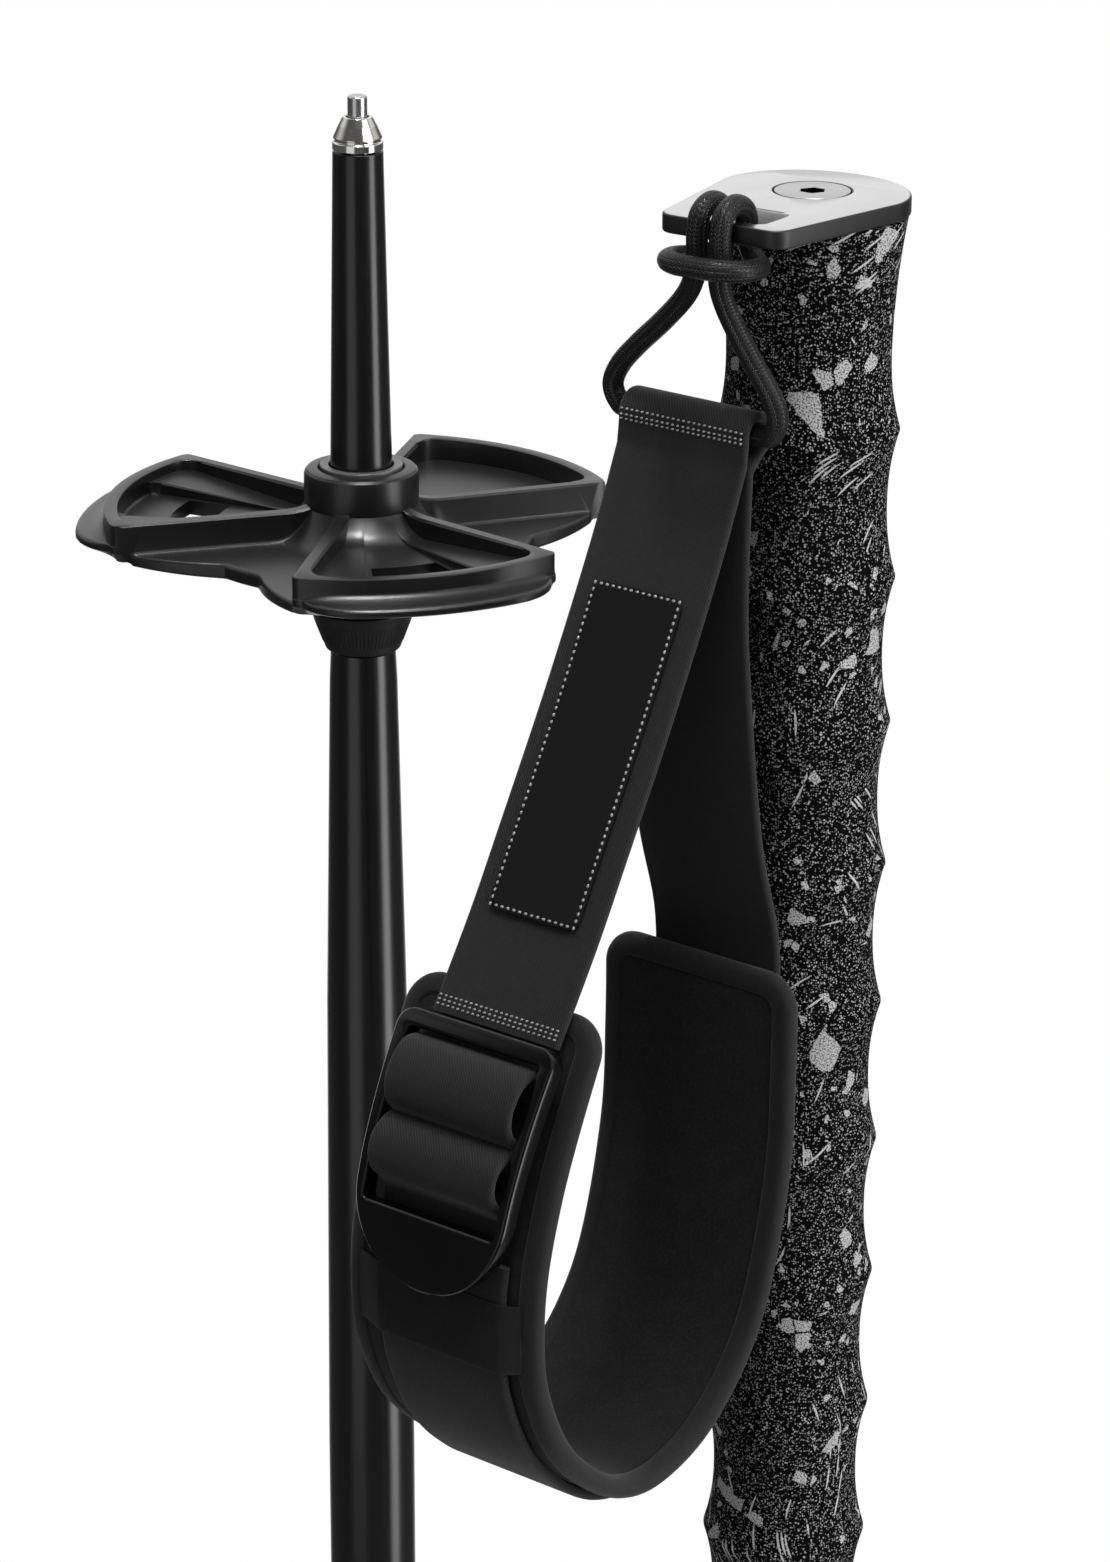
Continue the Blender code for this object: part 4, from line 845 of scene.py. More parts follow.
# The grip: a long tube of black foam with light chips and threads pressed into it, slid on and glued to the
# shaft. It is ground into shallow rings with sharp ridges and flares out under the top plate.
FOAM_TOP = -3.3
FOAM_LENGTH = 330.0
FOAM_TOP_RADIUS = 13.2
FOAM_END_RADIUS = 11.6
FOAM_END_CUTS = ((1.0, 0.05), (0.6, 0.15), (0.25, 0.4), (0.0, 1.0))
FOAM_BORE = 8.3
FOAM_SIDES = 80
FIRST_RIDGE = 34.9
RIDGE_PITCH = 24.5
RIDGE_HEIGHT = 1.7
RIDGE_STEPS = 20
RIDGE_SHARPNESS = 2.2
FLARE_ACROSS = 2.4
FLARE_ALONG = 0.7
FLARE_DEPTH = 24.0
HEART_SCALE = 60.0
SALT_SCALE = 2600.0


def foam_oval(across, along, depth):
    turns = around(FOAM_SIDES, math.pi / 2)
    return [(across * MM * math.cos(a), along * MM * math.sin(a), (FOAM_TOP - depth) * MM) for a in turns]


def foam_ring(depth, cut=0.0):
    """One ring of the grip: its taper, its ridge lift and its flare, drawn in by a cut at the rounded end."""
    base = FOAM_TOP_RADIUS + (FOAM_END_RADIUS - FOAM_TOP_RADIUS) * depth / FOAM_LENGTH - cut
    off_ridge = abs((depth - FIRST_RIDGE) / RIDGE_PITCH % 1.0 - 0.5)
    lift = RIDGE_HEIGHT * (2 * off_ridge) ** RIDGE_SHARPNESS if depth > FIRST_RIDGE - RIDGE_PITCH / 2 else 0.0
    flare = max(0.0, 1.0 - depth / FLARE_DEPTH) ** 2
    return foam_oval(base + lift + FLARE_ACROSS * flare, base + lift + FLARE_ALONG * flare, depth)


def foam_mesh():
    step = RIDGE_PITCH / RIDGE_STEPS
    first = -math.floor(FIRST_RIDGE / step)
    last = math.floor((FOAM_LENGTH - 2.0 - FIRST_RIDGE) / step)
    depths = [FIRST_RIDGE + k * step for k in range(first, last + 1)]
    rows = [foam_oval(FOAM_BORE, FOAM_BORE, 0.0), foam_ring(0.0)]
    rows += [foam_ring(d) for d in depths if d > 0.2]
    rows += [foam_ring(FOAM_LENGTH - short, cut) for short, cut in FOAM_END_CUTS]
    rows += [foam_oval(FOAM_BORE, FOAM_BORE, FOAM_LENGTH)]
    girth = 2 * math.pi * FOAM_TOP_RADIUS * MM
    heights = [row[0][2] for row in rows + rows[:1]]
    return skin(rows, ring=True, unrolled=lambda i, j: (girth * j / FOAM_SIDES, heights[i]), sharp=24.0)


def cells(vector, scale, out="Distance", **settings):
    """Voronoi cells on unrolled cloth."""
    settings = {"voronoi_dimensions": "2D", **settings}
    return vector.node("ShaderNodeTexVoronoi", settings, {"Vector": vector, "Scale": scale}, out)


def drawn(vector, scale):
    """Three chance numbers for each cell."""
    colour = cells(vector, scale, "Color")
    return [colour.axis(letter) for letter in "XYZ"]


def cloud(scale, layer=0.0):
    """A rough noise on the foam, on a layer of its own."""
    shifted = foam.vectors("ADD", (layer, layer, 0.0))
    values = {"Vector": shifted, "Scale": scale, "Detail": 1.0, "Roughness": 0.55}
    return foam.node("ShaderNodeTexNoise", {"noise_dimensions": "2D"}, values)


def torn(scale, reach):
    """The foam with its places shaken, so that cells drawn on it have ragged edges."""
    values = {"Vector": foam, "Scale": scale}
    shake = foam.node("ShaderNodeTexNoise", {"noise_dimensions": "2D"}, values, "Color")
    return shake.vectors("MULTIPLY_ADD", (reach, reach, 0.0), foam)


def flakes(scale, share, layer):
    """Angular flakes: a share of the cells of a ragged net, in drifts, each drawn in from its edges."""
    net = torn(5.0 * scale, 0.14 / scale)
    drift = cloud(34.0, layer).rise(0.35, 0.7) * (2.0 * share)
    return (drawn(net, scale)[0] < drift) * cells(net, scale, feature="DISTANCE_TO_EDGE").rise(0.05, 0.08)


foam_finish, foam = new_finish("speckled_foam", "UV", specular=0.08)
grit = cloud(3400.0)
salt_net = torn(1700.0, 0.45 * MM)
salt_chance, salt_size, salt_tone = drawn(salt_net, SALT_SCALE)
salt = (salt_size * 0.26 + 0.18 - cells(salt_net, SALT_SCALE)).rise(-0.04, 0.06)
salt = salt * (salt_chance > 0.46) * (salt_tone * 0.75 + 0.25)
chips = flakes(165.0, 0.03, 11.0).most(flakes(350.0, 0.035, 5.0)).most(flakes(780.0, 0.03, 8.0))

# Threads lie in their own wide cells, each leaning and bowed by its cell's chance numbers.
lean_chance, bow_chance, thread_layer = drawn(foam, HEART_SCALE)
local = foam.vectors("SUBTRACT", cells(foam, HEART_SCALE, "Position"))
lean = lean_chance * 2.4 - 1.5
thread_x = local.axis("X") * lean.cosine() + local.axis("Y") * lean.sine()
thread_y = local.axis("Y") * lean.cosine() - local.axis("X") * lean.sine()
bow = thread_x + thread_y * thread_y * ((bow_chance - 0.5) * 110.0)
thread_place = foam.node("ShaderNodeCombineXYZ", {}, {
    "X": bow * 1400.0 + thread_layer * 40.0, "Y": thread_y * 130.0 + bow_chance * 40.0,
})
threads = cells(thread_place, 1.0).rise(0.32, 0.22) * (drawn(thread_place, 1.0)[0] > 0.84)
threads = threads * (thread_layer > 0.45)

chips = chips * (grit.rise(0.38, 0.54) * 0.66 + 0.14)
light = (salt * 0.72).most(threads * (grit.rise(0.25, 0.45) * 0.5 + 0.3)).most(chips)
dress(light.tint(0.0006, 0.62), light * -0.15 + 0.9, grit * 0.7 + light * 0.3, 0.05, 0.5)
add_pairs(pole_place, ("foam_handle", foam_mesh(), foam_finish, "pole", "foam", "grip_foam"))

# The top plate: 3 mm aluminium, blanked, edge-rounded and anodised pale satin grey. A slot near its nose
# leaves the bar for the cord. One large flush bolt with a hexagon socket draws it down on the shaft's plug.
PLATE_THICKNESS = 3.0
PLATE_EDGE = 0.4
PLATE_HALF_WIDTH = 16.0
PLATE_REAR = 14.0
PLATE_NOSE = 27.0
NOSE_HALF_WIDTH = 11.6
NOSE_CORNER = 3.2
PLATE_SLOT = ((6.2, -15.6), (-6.2, -15.6), (-6.2, -24.2), (6.2, -24.2))
SLOT_CORNER = 1.9
SLOT_WALLS = (6.4, -23.9, -15.4)
BOLT_SEAT = 6.14
BOLT_RADIUS = 6.0
BOLT_EDGE = 0.12
SOCKET_EDGE = 0.05
HEAD_DEPTH = 1.6
SHANK_RADIUS = 3.0
SHANK_END = 22.0
SHANK_SIDES = 48
HEX_RADIUS = 2.15
HEX_DEPTH = 5.0
SKIN_DEPTH = 0.01


def circle(radius, count):
    return [(radius * math.cos(a), radius * math.sin(a)) for a in around(count)]


def arc(centre, radius, start, end, count):
    turns = [math.radians(start + (end - start) * i / (count - 1)) for i in range(count)]
    return [(centre[0] + radius * math.cos(a), centre[1] + radius * math.sin(a)) for a in turns]


def blanked(outlines, thickness, edge, height=0.0):
    """A flat sheet in millimetres from closed outlines, inner ones as holes, with all its edges rounded."""
    curve = bpy.data.curves.new("blank", "CURVE")
    for outline in outlines:
        spline = curve.splines.new("POLY")
        spline.points.add(len(outline) - 1)
        for point, (u, v) in zip(spline.points, outline):
            point.co = (u, v, 0.0, 1.0)
        spline.use_cyclic_u = True
    rounded = {"extrude": thickness / 2 - edge, "bevel_depth": edge, "bevel_resolution": 2, "offset": -edge}
    mesh = frozen(put("blank", curve, dimensions="2D", fill_mode="BOTH", **rounded))
    mesh.transform(Matrix.Scale(MM, 4))
    close_up(mesh, 28.0)
    mesh.transform(Matrix.Translation((0.0, 0.0, height * MM)))
    return mesh


def mark(mesh, name, chosen):
    """A number on every corner of a mesh for its finish: 1 where chosen, 0 elsewhere."""
    layer = mesh.attributes.new(name, "FLOAT", "POINT")
    layer.data.foreach_set("value", [1.0 if chosen(vert.co / MM) else 0.0 for vert in mesh.vertices])


def marked(spot, name):
    return spot.node("ShaderNodeAttribute", {"attribute_name": name}, out="Fac")


def on_face(spot):
    return abs(spot.z) > PLATE_THICKNESS / 2 - SKIN_DEPTH


def in_slot(spot):
    return abs(spot.x) < SLOT_WALLS[0] and SLOT_WALLS[1] < spot.y < SLOT_WALLS[2]


def joined(meshes):
    """Several closed meshes as one."""
    shape = bmesh.new()
    for mesh in meshes:
        shape.from_mesh(mesh)
    whole = bpy.data.meshes.new("joined")
    shape.to_mesh(whole)
    shape.free()
    return whole


plate_finish, spot = new_finish("satin_anodised", metallic=1.0)
blast = spot.noise(5200.0)
smear = spot.noise(120.0, 4.0)
# Painted light and shade in the colour: the outer edges are painted near black as shade, and the slot's walls
# are painted pale and made hardly metallic so that they look lit. The flat faces keep the plate's own pale
# grey.
painted_light_and_shade_mask = marked(spot, "face")
flat = marked(spot, "flat")
plate_tone_with_painted_shade = (painted_light_and_shade_mask * (smear * 0.15 + 0.85)).tint(0.05, 0.7)
dress(plate_tone_with_painted_shade, smear * 0.06 + blast * 0.04 + 0.42 - flat * 0.25, blast, 0.006, 0.35)
((painted_light_and_shade_mask - flat) * -0.8 + 1.0).feed("Metallic")

bolt_finish, spot = new_finish("bolt_steel", metallic=1.0)
blast = spot.noise(5200.0)
smear = spot.noise(160.0, 4.0)
# The hexagon socket's inside is painted near black, a painted shade in the recess.
bolt_tone_painted_socket_shade = ((1.0 - marked(spot, "socket")) * (smear * 0.2 + 0.8)).tint(0.004, 0.54)
dress(bolt_tone_painted_socket_shade, smear * 0.08 + blast * 0.05 + 0.27, blast, 0.006, 0.35)

plug_finish, spot = new_finish("plug_alloy", metallic=1.0)
turning = spot.stretch(200.0, 200.0, 5000.0).noise(1.0)
dress(turning.tint(0.34, 0.48), turning * 0.2 + 0.35, turning, 0.01, 0.5)

rear = [(PLATE_HALF_WIDTH * x, PLATE_REAR * y) for x, y in arc((0.0, 0.0), 1.0, 0.0, 180.0, 49)]
nose_x, nose_y = NOSE_HALF_WIDTH - NOSE_CORNER, NOSE_CORNER - PLATE_NOSE
nose = arc((-nose_x, nose_y), NOSE_CORNER, 192.0, 270.0, 10)
nose += arc((nose_x, nose_y), NOSE_CORNER, 270.0, 348.0, 10)
plate_outlines = [rear + nose, eased(PLATE_SLOT, SLOT_CORNER, steps=6), circle(BOLT_SEAT, 64)]
plate_mesh = blanked(plate_outlines, PLATE_THICKNESS, PLATE_EDGE)
mark(plate_mesh, "flat", on_face)
# The face mark takes in the slot's walls for their painted light; the outer edges left out of it take the
# painted shade.
mark(plate_mesh, "face", lambda spot: on_face(spot) or in_slot(spot))
plate_mesh.transform(Matrix.Translation((0.0, 0.0, -PLATE_THICKNESS / 2 * MM)))

hexagon = circle(HEX_RADIUS, 6)
head = blanked([circle(BOLT_RADIUS, 64), hexagon], HEAD_DEPTH, BOLT_EDGE, -HEAD_DEPTH / 2)
wall_outlines = [circle(SHANK_RADIUS, SHANK_SIDES), hexagon]
wall = blanked(wall_outlines, HEX_DEPTH - HEAD_DEPTH, SOCKET_EDGE, -(HEX_DEPTH + HEAD_DEPTH) / 2)
stem = [(0.0, -HEX_DEPTH), (SHANK_RADIUS, -HEX_DEPTH), (SHANK_RADIUS, -SHANK_END), (0.0, -SHANK_END)]
bolt_mesh = joined([head, wall, turned(eased(stem, 0.2, closed=False), SHANK_SIDES)])
# Marks the socket's inside for its painted shade.
mark(bolt_mesh, "socket", lambda spot: spot.xy.length < HEX_RADIUS + 0.3 and spot.z < -0.1)
add_pairs(
    pole_place,
    ("cap_plate", plate_mesh, plate_finish, "pole", "plate", "top_plate"),
    ("cap_bolt", bolt_mesh, bolt_finish, "pole", "bolt", "plate_bolt"),
)
for side in SIDES:
    plug = frame["nodes"][side + "_shaft_plug"]
    plug.data.materials.clear()
    plug.data.materials.append(plug_finish)

# The strap's webbing: a 25 mm charcoal polyester tape in a diagonal twill with rounded selvedges. It is
# folded over the cord and sewn to itself as a sleeve, runs down the back and goes on round the outside of
# the wrist pad.
STRAP_X = -4.0 * MM
SLEEVE = Vector((-4.0, -26.5, -32.2)) * MM
SWING = {"right": 0.0, "left": math.radians(17.5)}
WEB_WIDTH = 25.0 * MM
WEB_THICKNESS = 1.5 * MM
WEB_STEP = 0.7 * MM
CORD_ROOM = 0.6 * MM
THROAT_DROP = 2.6 * MM
FOLD_TURN = 130
FOLD_STEP = 13
SEAM_ROOM = 0.2 * MM
PAD_GAP = 0.3 * MM
PAD_THICKNESS = 3.2 * MM
FRONT_LEG = ((-74.9, -118.2), (-66.2, -105.0), (-59.7, -94.0), (-47.4, -72.5), (-36.2, -51.0))
BACK_LEG = ((-28.9, -58.0), (-27.6, -75.0), (-24.0, -100.0), (-19.2, -117.0))
PAD_LINE = (
    (-69.0, -114.6), (-70.6, -117.4), (-76.8, -130.0), (-81.0, -140.0), (-84.2, -151.0),
    (-85.2, -161.0), (-84.2, -171.0), (-79.6, -182.0), (-72.8, -190.0), (-63.5, -196.4),
    (-53.0, -197.6), (-40.5, -192.6), (-29.0, -179.5), (-22.4, -157.0), (-21.2, -138.0),
    (-21.2, -122.5),
)
WEB_END_Y = -60.0 * MM
WEB_END_Z = -147.5 * MM
TWILL_PITCH = 0.55 * MM
YARN_PITCH = 0.42 * MM
STITCH_SIZE = (0.56, 0.38, 0.36)
STITCH_PITCH = 1.0 * MM
STITCH_SLANT = 1.25
STITCH_SINK = 0.05 * MM
ROW_PITCH = 0.74 * MM
SEAM_HALF = 11.6 * MM
LOW_SEAM = 1.9 * MM
SLEEVE_SEAM = 20.3 * MM


def strap_place(side):
    """The strap's axes at the sewn sleeve. The lower pole's strap hangs free, so it swings out to plumb."""
    sleeve = Matrix.Translation(JOINTS[side + "_strap_swing"]["pos_m"])
    turn = Matrix.Rotation(strap_yaw(side), 4, "Z") @ Matrix.Rotation(SWING[side], 4, "X")
    return sleeve @ turn @ Matrix.Translation(-SLEEVE)


def side_step(line, distance):
    """A line moved to its own left by a distance, point by point."""
    return [p + Vector((-run.y, run.x)) * distance for p, run in zip(line, headings(line))]


def walk(line, distance):
    """The place a given distance along a line, and the line's heading there."""
    for here, after in zip(line, line[1:]):
        step = (after - here).length
        if distance <= step or after is line[-1]:
            return here + (after - here) * (distance / step), (after - here).normalized()
        distance -= step


def paced(line, spacing):
    """A line again, at even steps."""
    total = run_lengths(line)[-1]
    count = max(2, round(total / spacing))
    return [walk(line, total * i / count)[0] for i in range(count + 1)]


def tape_section(width, thickness, faces, edges):
    """Points round a tape: flat faces and half-round selvedges, (across, off)."""
    depth = thickness / 2
    flat = width / 2 - depth
    section = [(-flat + 2 * flat * i / faces, -depth) for i in range(faces)]
    section += [(flat + depth * math.sin(a), -depth * math.cos(a)) for a in around(2 * edges)[:edges]]
    return section + [(-x, -y) for x, y in section]


def tape(line, width=WEB_WIDTH, thickness=WEB_THICKNESS, faces=8, edges=5, corner=0.0):
    """A tape drawn along a line in the strap's Y and Z, its width along X, its cloth unrolled in metres. A
    corner rounds its ends, and its cloth then lies flat instead of going round."""
    lengths = run_lengths(line)
    whole = [Vector(p) for p in tape_section(width, thickness, faces, edges)]
    girth = run_lengths(whole + whole[:1])
    rows = []
    for here, run, reach in zip(line, headings(line), lengths):
        narrow = corner_cut(corner, min(reach, lengths[-1] - reach))
        section = tape_section(width - 2 * narrow, thickness, faces, edges)
        rows.append([(STRAP_X + x, here.x + run.y * off, here.y - run.x * off) for x, off in section])

    def unrolled(i, j):
        return rows[i][j % len(whole)][0] if corner else girth[j], lengths[i]

    return skin(rows, unrolled=unrolled, sharp=50.0)


def webbing_line():
    """Up the front leg, round the cord, down the back leg and round the outside of the pad to the buckle."""
    wrap = CORD_RADIUS + CORD_ROOM + WEB_THICKNESS / 2
    seam = WEB_THICKNESS / 2 + SEAM_ROOM
    front = in_metres(FRONT_LEG)
    centre = SLEEVE.yz
    lean = (centre - front[-1]).normalized()
    across = Vector((-lean.y, lean.x))
    throat = centre - lean * (wrap + THROAT_DROP)
    turns = [math.radians(a) for a in range(-FOLD_TURN, FOLD_TURN + 1, FOLD_STEP)]
    fold = [centre + wrap * (lean * math.cos(a) - across * math.sin(a)) for a in turns]
    stand_off = PAD_THICKNESS / 2 + PAD_GAP + WEB_THICKNESS / 2
    outside = side_step(smooth_line(in_metres(PAD_LINE), 2), -stand_off)[::-1]
    outside = [p for p in outside if p.x > WEB_END_Y or p.y < WEB_END_Z]
    legs = smooth_line(front + [throat + across * seam], 6) + fold
    legs += smooth_line([throat - across * seam] + in_metres(BACK_LEG) + outside[1:2], 6)[:-1]
    return paced(legs + smooth_line(outside[1:], 4), WEB_STEP)


def on_tape(line, distance, across, off, slant=0.0):
    """A placing matrix on a tape: X along it and turned by a slant, Z out of its outer face."""
    here, run = walk(line, distance)
    along = Vector((0.0, run.x, run.y))
    up = Vector((0.0, run.y, -run.x))
    turn = Matrix((along, up.cross(along), up)).transposed().to_4x4() @ Matrix.Rotation(slant, 4, "Z")
    return Matrix.Translation(Vector((STRAP_X + across, here.x, here.y)) + up * off) @ turn


def sewn(places, size):
    """Stitches of a size in millimetres at placing matrices: X along the thread, Z out of the cloth."""
    mesh = bpy.data.meshes.new("stitches")
    mesh.from_pydata([tuple(place.translation) for place in places], [], [])
    turns = mesh.attributes.new("turn", "FLOAT_VECTOR", "POINT")
    turns.data.foreach_set("vector", [value for place in places for value in place.to_euler()])
    values = {name: value * MM for name, value in zip(("Length", "Width", "Height"), size)}
    return grown(mesh, stitch_tree, {"Thread": thread_finish, **values})


def twill(name, deep, high):
    """A woven tape's finish: diagonal ribs, broken into yarns, on the unrolled cloth."""
    finish, cloth = new_finish(name, "UV", specular=0.25, sheen=0.15)
    lint = cloth.noise(900.0, 4.0)
    rib = ((cloth.axis("X") + cloth.axis("Y") * 0.9) / TWILL_PITCH + lint * 0.25).waves(1.0) * 0.5 + 0.5
    yarn = (cloth.axis("X") - cloth.axis("Y") * 0.35).waves(YARN_PITCH) * 0.5 + 0.5
    weave = rib * 0.7 + yarn * 0.3
    tone = (weave * (lint * 0.9 + 0.45)).rise(0.05, 0.95).tint(deep, high)
    dress(tone, weave * -0.12 + 0.82, weave + lint * 0.3, 0.05, 0.7)
    return finish


stitch_tree, (points, length, width, height, thread) = new_tree("sewn_stitches", {
    "Points": "Geometry", "Length": "Float", "Width": "Float", "Height": "Float", "Thread": "Material",
})
bead = points.node("GeometryNodeMeshUVSphere", {}, {"Segments": 8, "Rings": 6, "Radius": 0.5})
turn = points.node("GeometryNodeInputNamedAttribute", {"data_type": "FLOAT_VECTOR"}, {"Name": "turn"})
laid_out(stitch_tree, turn, thread, {
    "Points": points, "Instance": points.node("GeometryNodeSetShadeSmooth", {}, {"Geometry": bead}),
    "Scale": points.node("ShaderNodeCombineXYZ", {}, {"X": length, "Y": width, "Z": height}),
})

web_finish = twill("charcoal_webbing", 0.0018, 0.0185)
thread_finish = grained("pale_thread", 3500.0, 2.0, (0.26, 0.44), (0.2, 0.6), (0.02, 0.5), specular=0.3)
line = webbing_line()
front_leg = smooth_line(in_metres(FRONT_LEG), 6)
columns = round(2 * SEAM_HALF / STITCH_PITCH)
places = []
for seam in (run_lengths(front_leg)[-1] + SLEEVE_SEAM, LOW_SEAM):
    for along in (seam - ROW_PITCH, seam, seam + ROW_PITCH):
        for i in range(columns + 1):
            across = SEAM_HALF * (2 * i / columns - 1)
            places.append(on_tape(line, along, across, -WEB_THICKNESS / 2 - STITCH_SINK, STITCH_SLANT))
add_pairs(
    strap_place,
    ("wrist_webbing", tape(line), web_finish, "strap", "webbing", "strap_webbing"),
    ("webbing_stitches", sewn(places, STITCH_SIZE), thread_finish, "strap", "webbing"),
)

# The patch on the front leg: a plain strip of smooth black tape with rounded corners, sewn on all round with
# one row of pale thread. It is left bare.
LABEL_WIDTH = 17.5 * MM
LABEL_LENGTH = 53.5 * MM
LABEL_THICKNESS = 0.5 * MM
LABEL_START = 6.2 * MM
LABEL_STEPS = 90
LABEL_CORNER = 1.4 * MM
LABEL_GAP = 0.3 * MM
LABEL_PITCH = 0.36 * MM
BORDER_INSET = 0.5 * MM
BORDER_PITCH = 1.15 * MM
BORDER_LIFT = LABEL_THICKNESS / 2 + 0.03 * MM
BORDER_SIZE = (0.66, 0.46, 0.34)

label_finish, cloth = new_finish("patch_black", "UV", specular=0.2)
fine_rib = cloth.axis("X").waves(LABEL_PITCH) * cloth.axis("Y").waves(LABEL_PITCH)
lint = cloth.noise(700.0, 3.0)
label_tone = (fine_rib * 0.3 + lint).rise(0.1, 0.9).tint(0.0008, 0.003)
dress(label_tone, lint * 0.2 + 0.55, fine_rib * 0.5 + 0.5, 0.03, 0.6)

lifted = side_step(front_leg[::-1], -(WEB_THICKNESS / 2 + LABEL_GAP + LABEL_THICKNESS / 2))
shares = [i / LABEL_STEPS for i in range(LABEL_STEPS + 1)]
line = [walk(lifted, LABEL_START + LABEL_LENGTH * share)[0] for share in shares]
half = LABEL_WIDTH / 2 - BORDER_INSET
down = LABEL_LENGTH - 2 * BORDER_INSET
count = round(down / BORDER_PITCH)
places = []
for across in (-half, half):
    for i in range(count + 1):
        places.append(on_tape(line, BORDER_INSET + down * i / count, across, BORDER_LIFT))
count = round(2 * half / BORDER_PITCH)
for along in (BORDER_INSET, BORDER_INSET + down):
    for i in range(1, count):
        places.append(on_tape(line, along, half * (2 * i / count - 1), BORDER_LIFT, math.pi / 2))
label_mesh = tape(line, LABEL_WIDTH, LABEL_THICKNESS, 6, 4, LABEL_CORNER)
add_pairs(
    strap_place,
    ("front_patch", label_mesh, label_finish, "strap", "label", "strap_label"),
    ("patch_stitches", sewn(places, BORDER_SIZE), thread_finish, "strap", "label"),
)

# The wrist pad: foam laminated between two faces of fine black knit, crowned by its filling and bound all
# round with a folded tape that is sewn through along its inner edge.
PAD_X = -5.4 * MM
PAD_HALF = 19.0 * MM
PAD_CORNER = 6.0 * MM
PAD_COLUMNS = 28
PAD_STEP = 1.5
PAD_ENDS = (0.0, 0.1, 0.35, 0.8, 1.4, 2.2, 3.2, 4.5, 6.0)
PAD_EDGE = 0.35 * MM
PAD_SLOPE = 7.0 * MM
PAD_BACK_CLOTH = 0.06
PAD_COURSE = paced(smooth_line(in_metres(PAD_LINE), 8), 0.5 * MM)
PAD_TOTAL = run_lengths(PAD_COURSE)[-1]
BINDING_LINE = (
    (3.55, 1.2), (3.4, 1.58), (3.15, 1.74), (2.2, 1.76), (1.2, 1.66), (0.55, 1.4), (0.12, 0.95), (-0.1, 0.35),
)


def on_pad(across, along, off):
    """A place by its run across the pad, along it, and off its middle on the outer side."""
    here, run = walk(PAD_COURSE, along)
    return (PAD_X + across, here.x + run.y * off, here.y - run.x * off)


def pad_depth(share, short):
    """Half the pad's thickness: full in the middle, pressed down under the binding at the edges and ends."""
    end = min(1.0, short / PAD_SLOPE)
    pressed = (1.0 - abs(share) ** 7) ** 0.5 * (1.0 - (1.0 - end) ** 4) ** 0.5
    return PAD_EDGE + (PAD_THICKNESS / 2 - PAD_EDGE) * pressed * (1.0 - 0.04 * share * share)


def pad_mesh():
    """Rows across the pad, close together at its rounded ends."""
    inner = PAD_TOTAL / MM - 2 * PAD_ENDS[-1]
    count = round(inner / PAD_STEP)
    middle = tuple(PAD_ENDS[-1] + inner * i / count for i in range(1, count))
    distances = [d * MM for d in PAD_ENDS + middle] + [PAD_TOTAL - d * MM for d in reversed(PAD_ENDS)]
    shares = [math.sin(math.pi * (i / PAD_COLUMNS - 0.5)) for i in range(PAD_COLUMNS + 1)]
    rows = []
    for along in distances:
        short = min(along, PAD_TOTAL - along)
        half = PAD_HALF - corner_cut(PAD_CORNER, short)
        face = [(half * s, pad_depth(s, short)) for s in shares]
        face += [(across, -off) for across, off in reversed(face)]
        rows.append([on_pad(across, along, off) for across, off in face])

    def unrolled(i, j):
        shift = PAD_BACK_CLOTH if j > PAD_COLUMNS else 0.0
        return rows[i][j % len(rows[i])][0] + shift, distances[i]

    return skin(rows, unrolled=unrolled)


def pad_outline():
    """Round the pad's edge: places as (across, along) with the outward direction at each."""
    x, top, low = PAD_HALF - PAD_CORNER, PAD_CORNER, PAD_TOTAL - PAD_CORNER
    outline = []
    for cx, cy, start in ((x, low, 0), (-x, low, 90), (-x, top, 180), (x, top, 270)):
        ways = [Vector(way) for way in arc((0.0, 0.0), 1.0, start, start + 90, 13)]
        outline += [(Vector((cx, cy)) + way * PAD_CORNER, way) for way in ways]
    filled = []
    for (here, way), (after, later) in zip(outline, outline[1:] + outline[:1]):
        steps = max(1, round((after - here).length / (PAD_STEP * MM)))
        for share in [i / steps for i in range(steps)]:
            filled.append((here.lerp(after, share), way.lerp(later, share).normalized()))
    return filled


def binding_mesh():
    section = in_metres(BINDING_LINE + tuple((inward, -off) for inward, off in reversed(BINDING_LINE)))
    outline = pad_outline()
    lengths = run_lengths([here for here, way in outline] + [outline[0][0]])
    girth = run_lengths(section + section[:1])
    rows = []
    for here, way in outline:
        rows.append([on_pad(*(here - way * inward), off) for inward, off in section])
    return skin(rows, ring=True, unrolled=lambda i, j: (girth[j], lengths[i]), sharp=60.0)


pad_finish, cloth = new_finish("pad_knit", "UV", specular=0.2, sheen=0.1)
knit = cells(cloth, 1900.0)
nap = cloth.noise(260.0, 5.0)
pad_tone = (knit * 0.5 + nap * 0.7).rise(0.2, 0.95).tint(0.003, 0.014)
dress(pad_tone, nap * 0.15 + 0.78, knit * 0.8 + nap * 0.3, 0.06, 0.6)
binding_finish = twill("binding_tape", 0.002, 0.0105)
add_pairs(
    strap_place,
    ("padded_band", pad_mesh(), pad_finish, "strap", "pad", "wrist_pad"),
    ("pad_binding", binding_mesh(), binding_finish, "strap", "pad"),
)

# The keeper: a flat bridge of black elastic that holds the webbing's end down. It is laid tight over the
# webbing, and its two ends are sewn down along the pad's binding.
KEEPER_LENGTH = 11.0 * MM
KEEPER_THICKNESS = 0.6 * MM
KEEPER_Z = -162.0 * MM
KEEPER_EDGE = 0.5 * MM
KEEPER_TUCK = 2.6 * MM
KEEPER_BEND = 1.0
KEEPER_FOOT = 0.2
KEEPER_CLEAR = 0.15
KEEPER_CROWN = 0.05
KEEPER_SHOULDER = (0.2, 0.35)
KEEPER_HEM = 0.3
KEEPER_COLUMNS = 24
ELASTIC_PITCH = (0.5 * MM, 0.6 * MM)


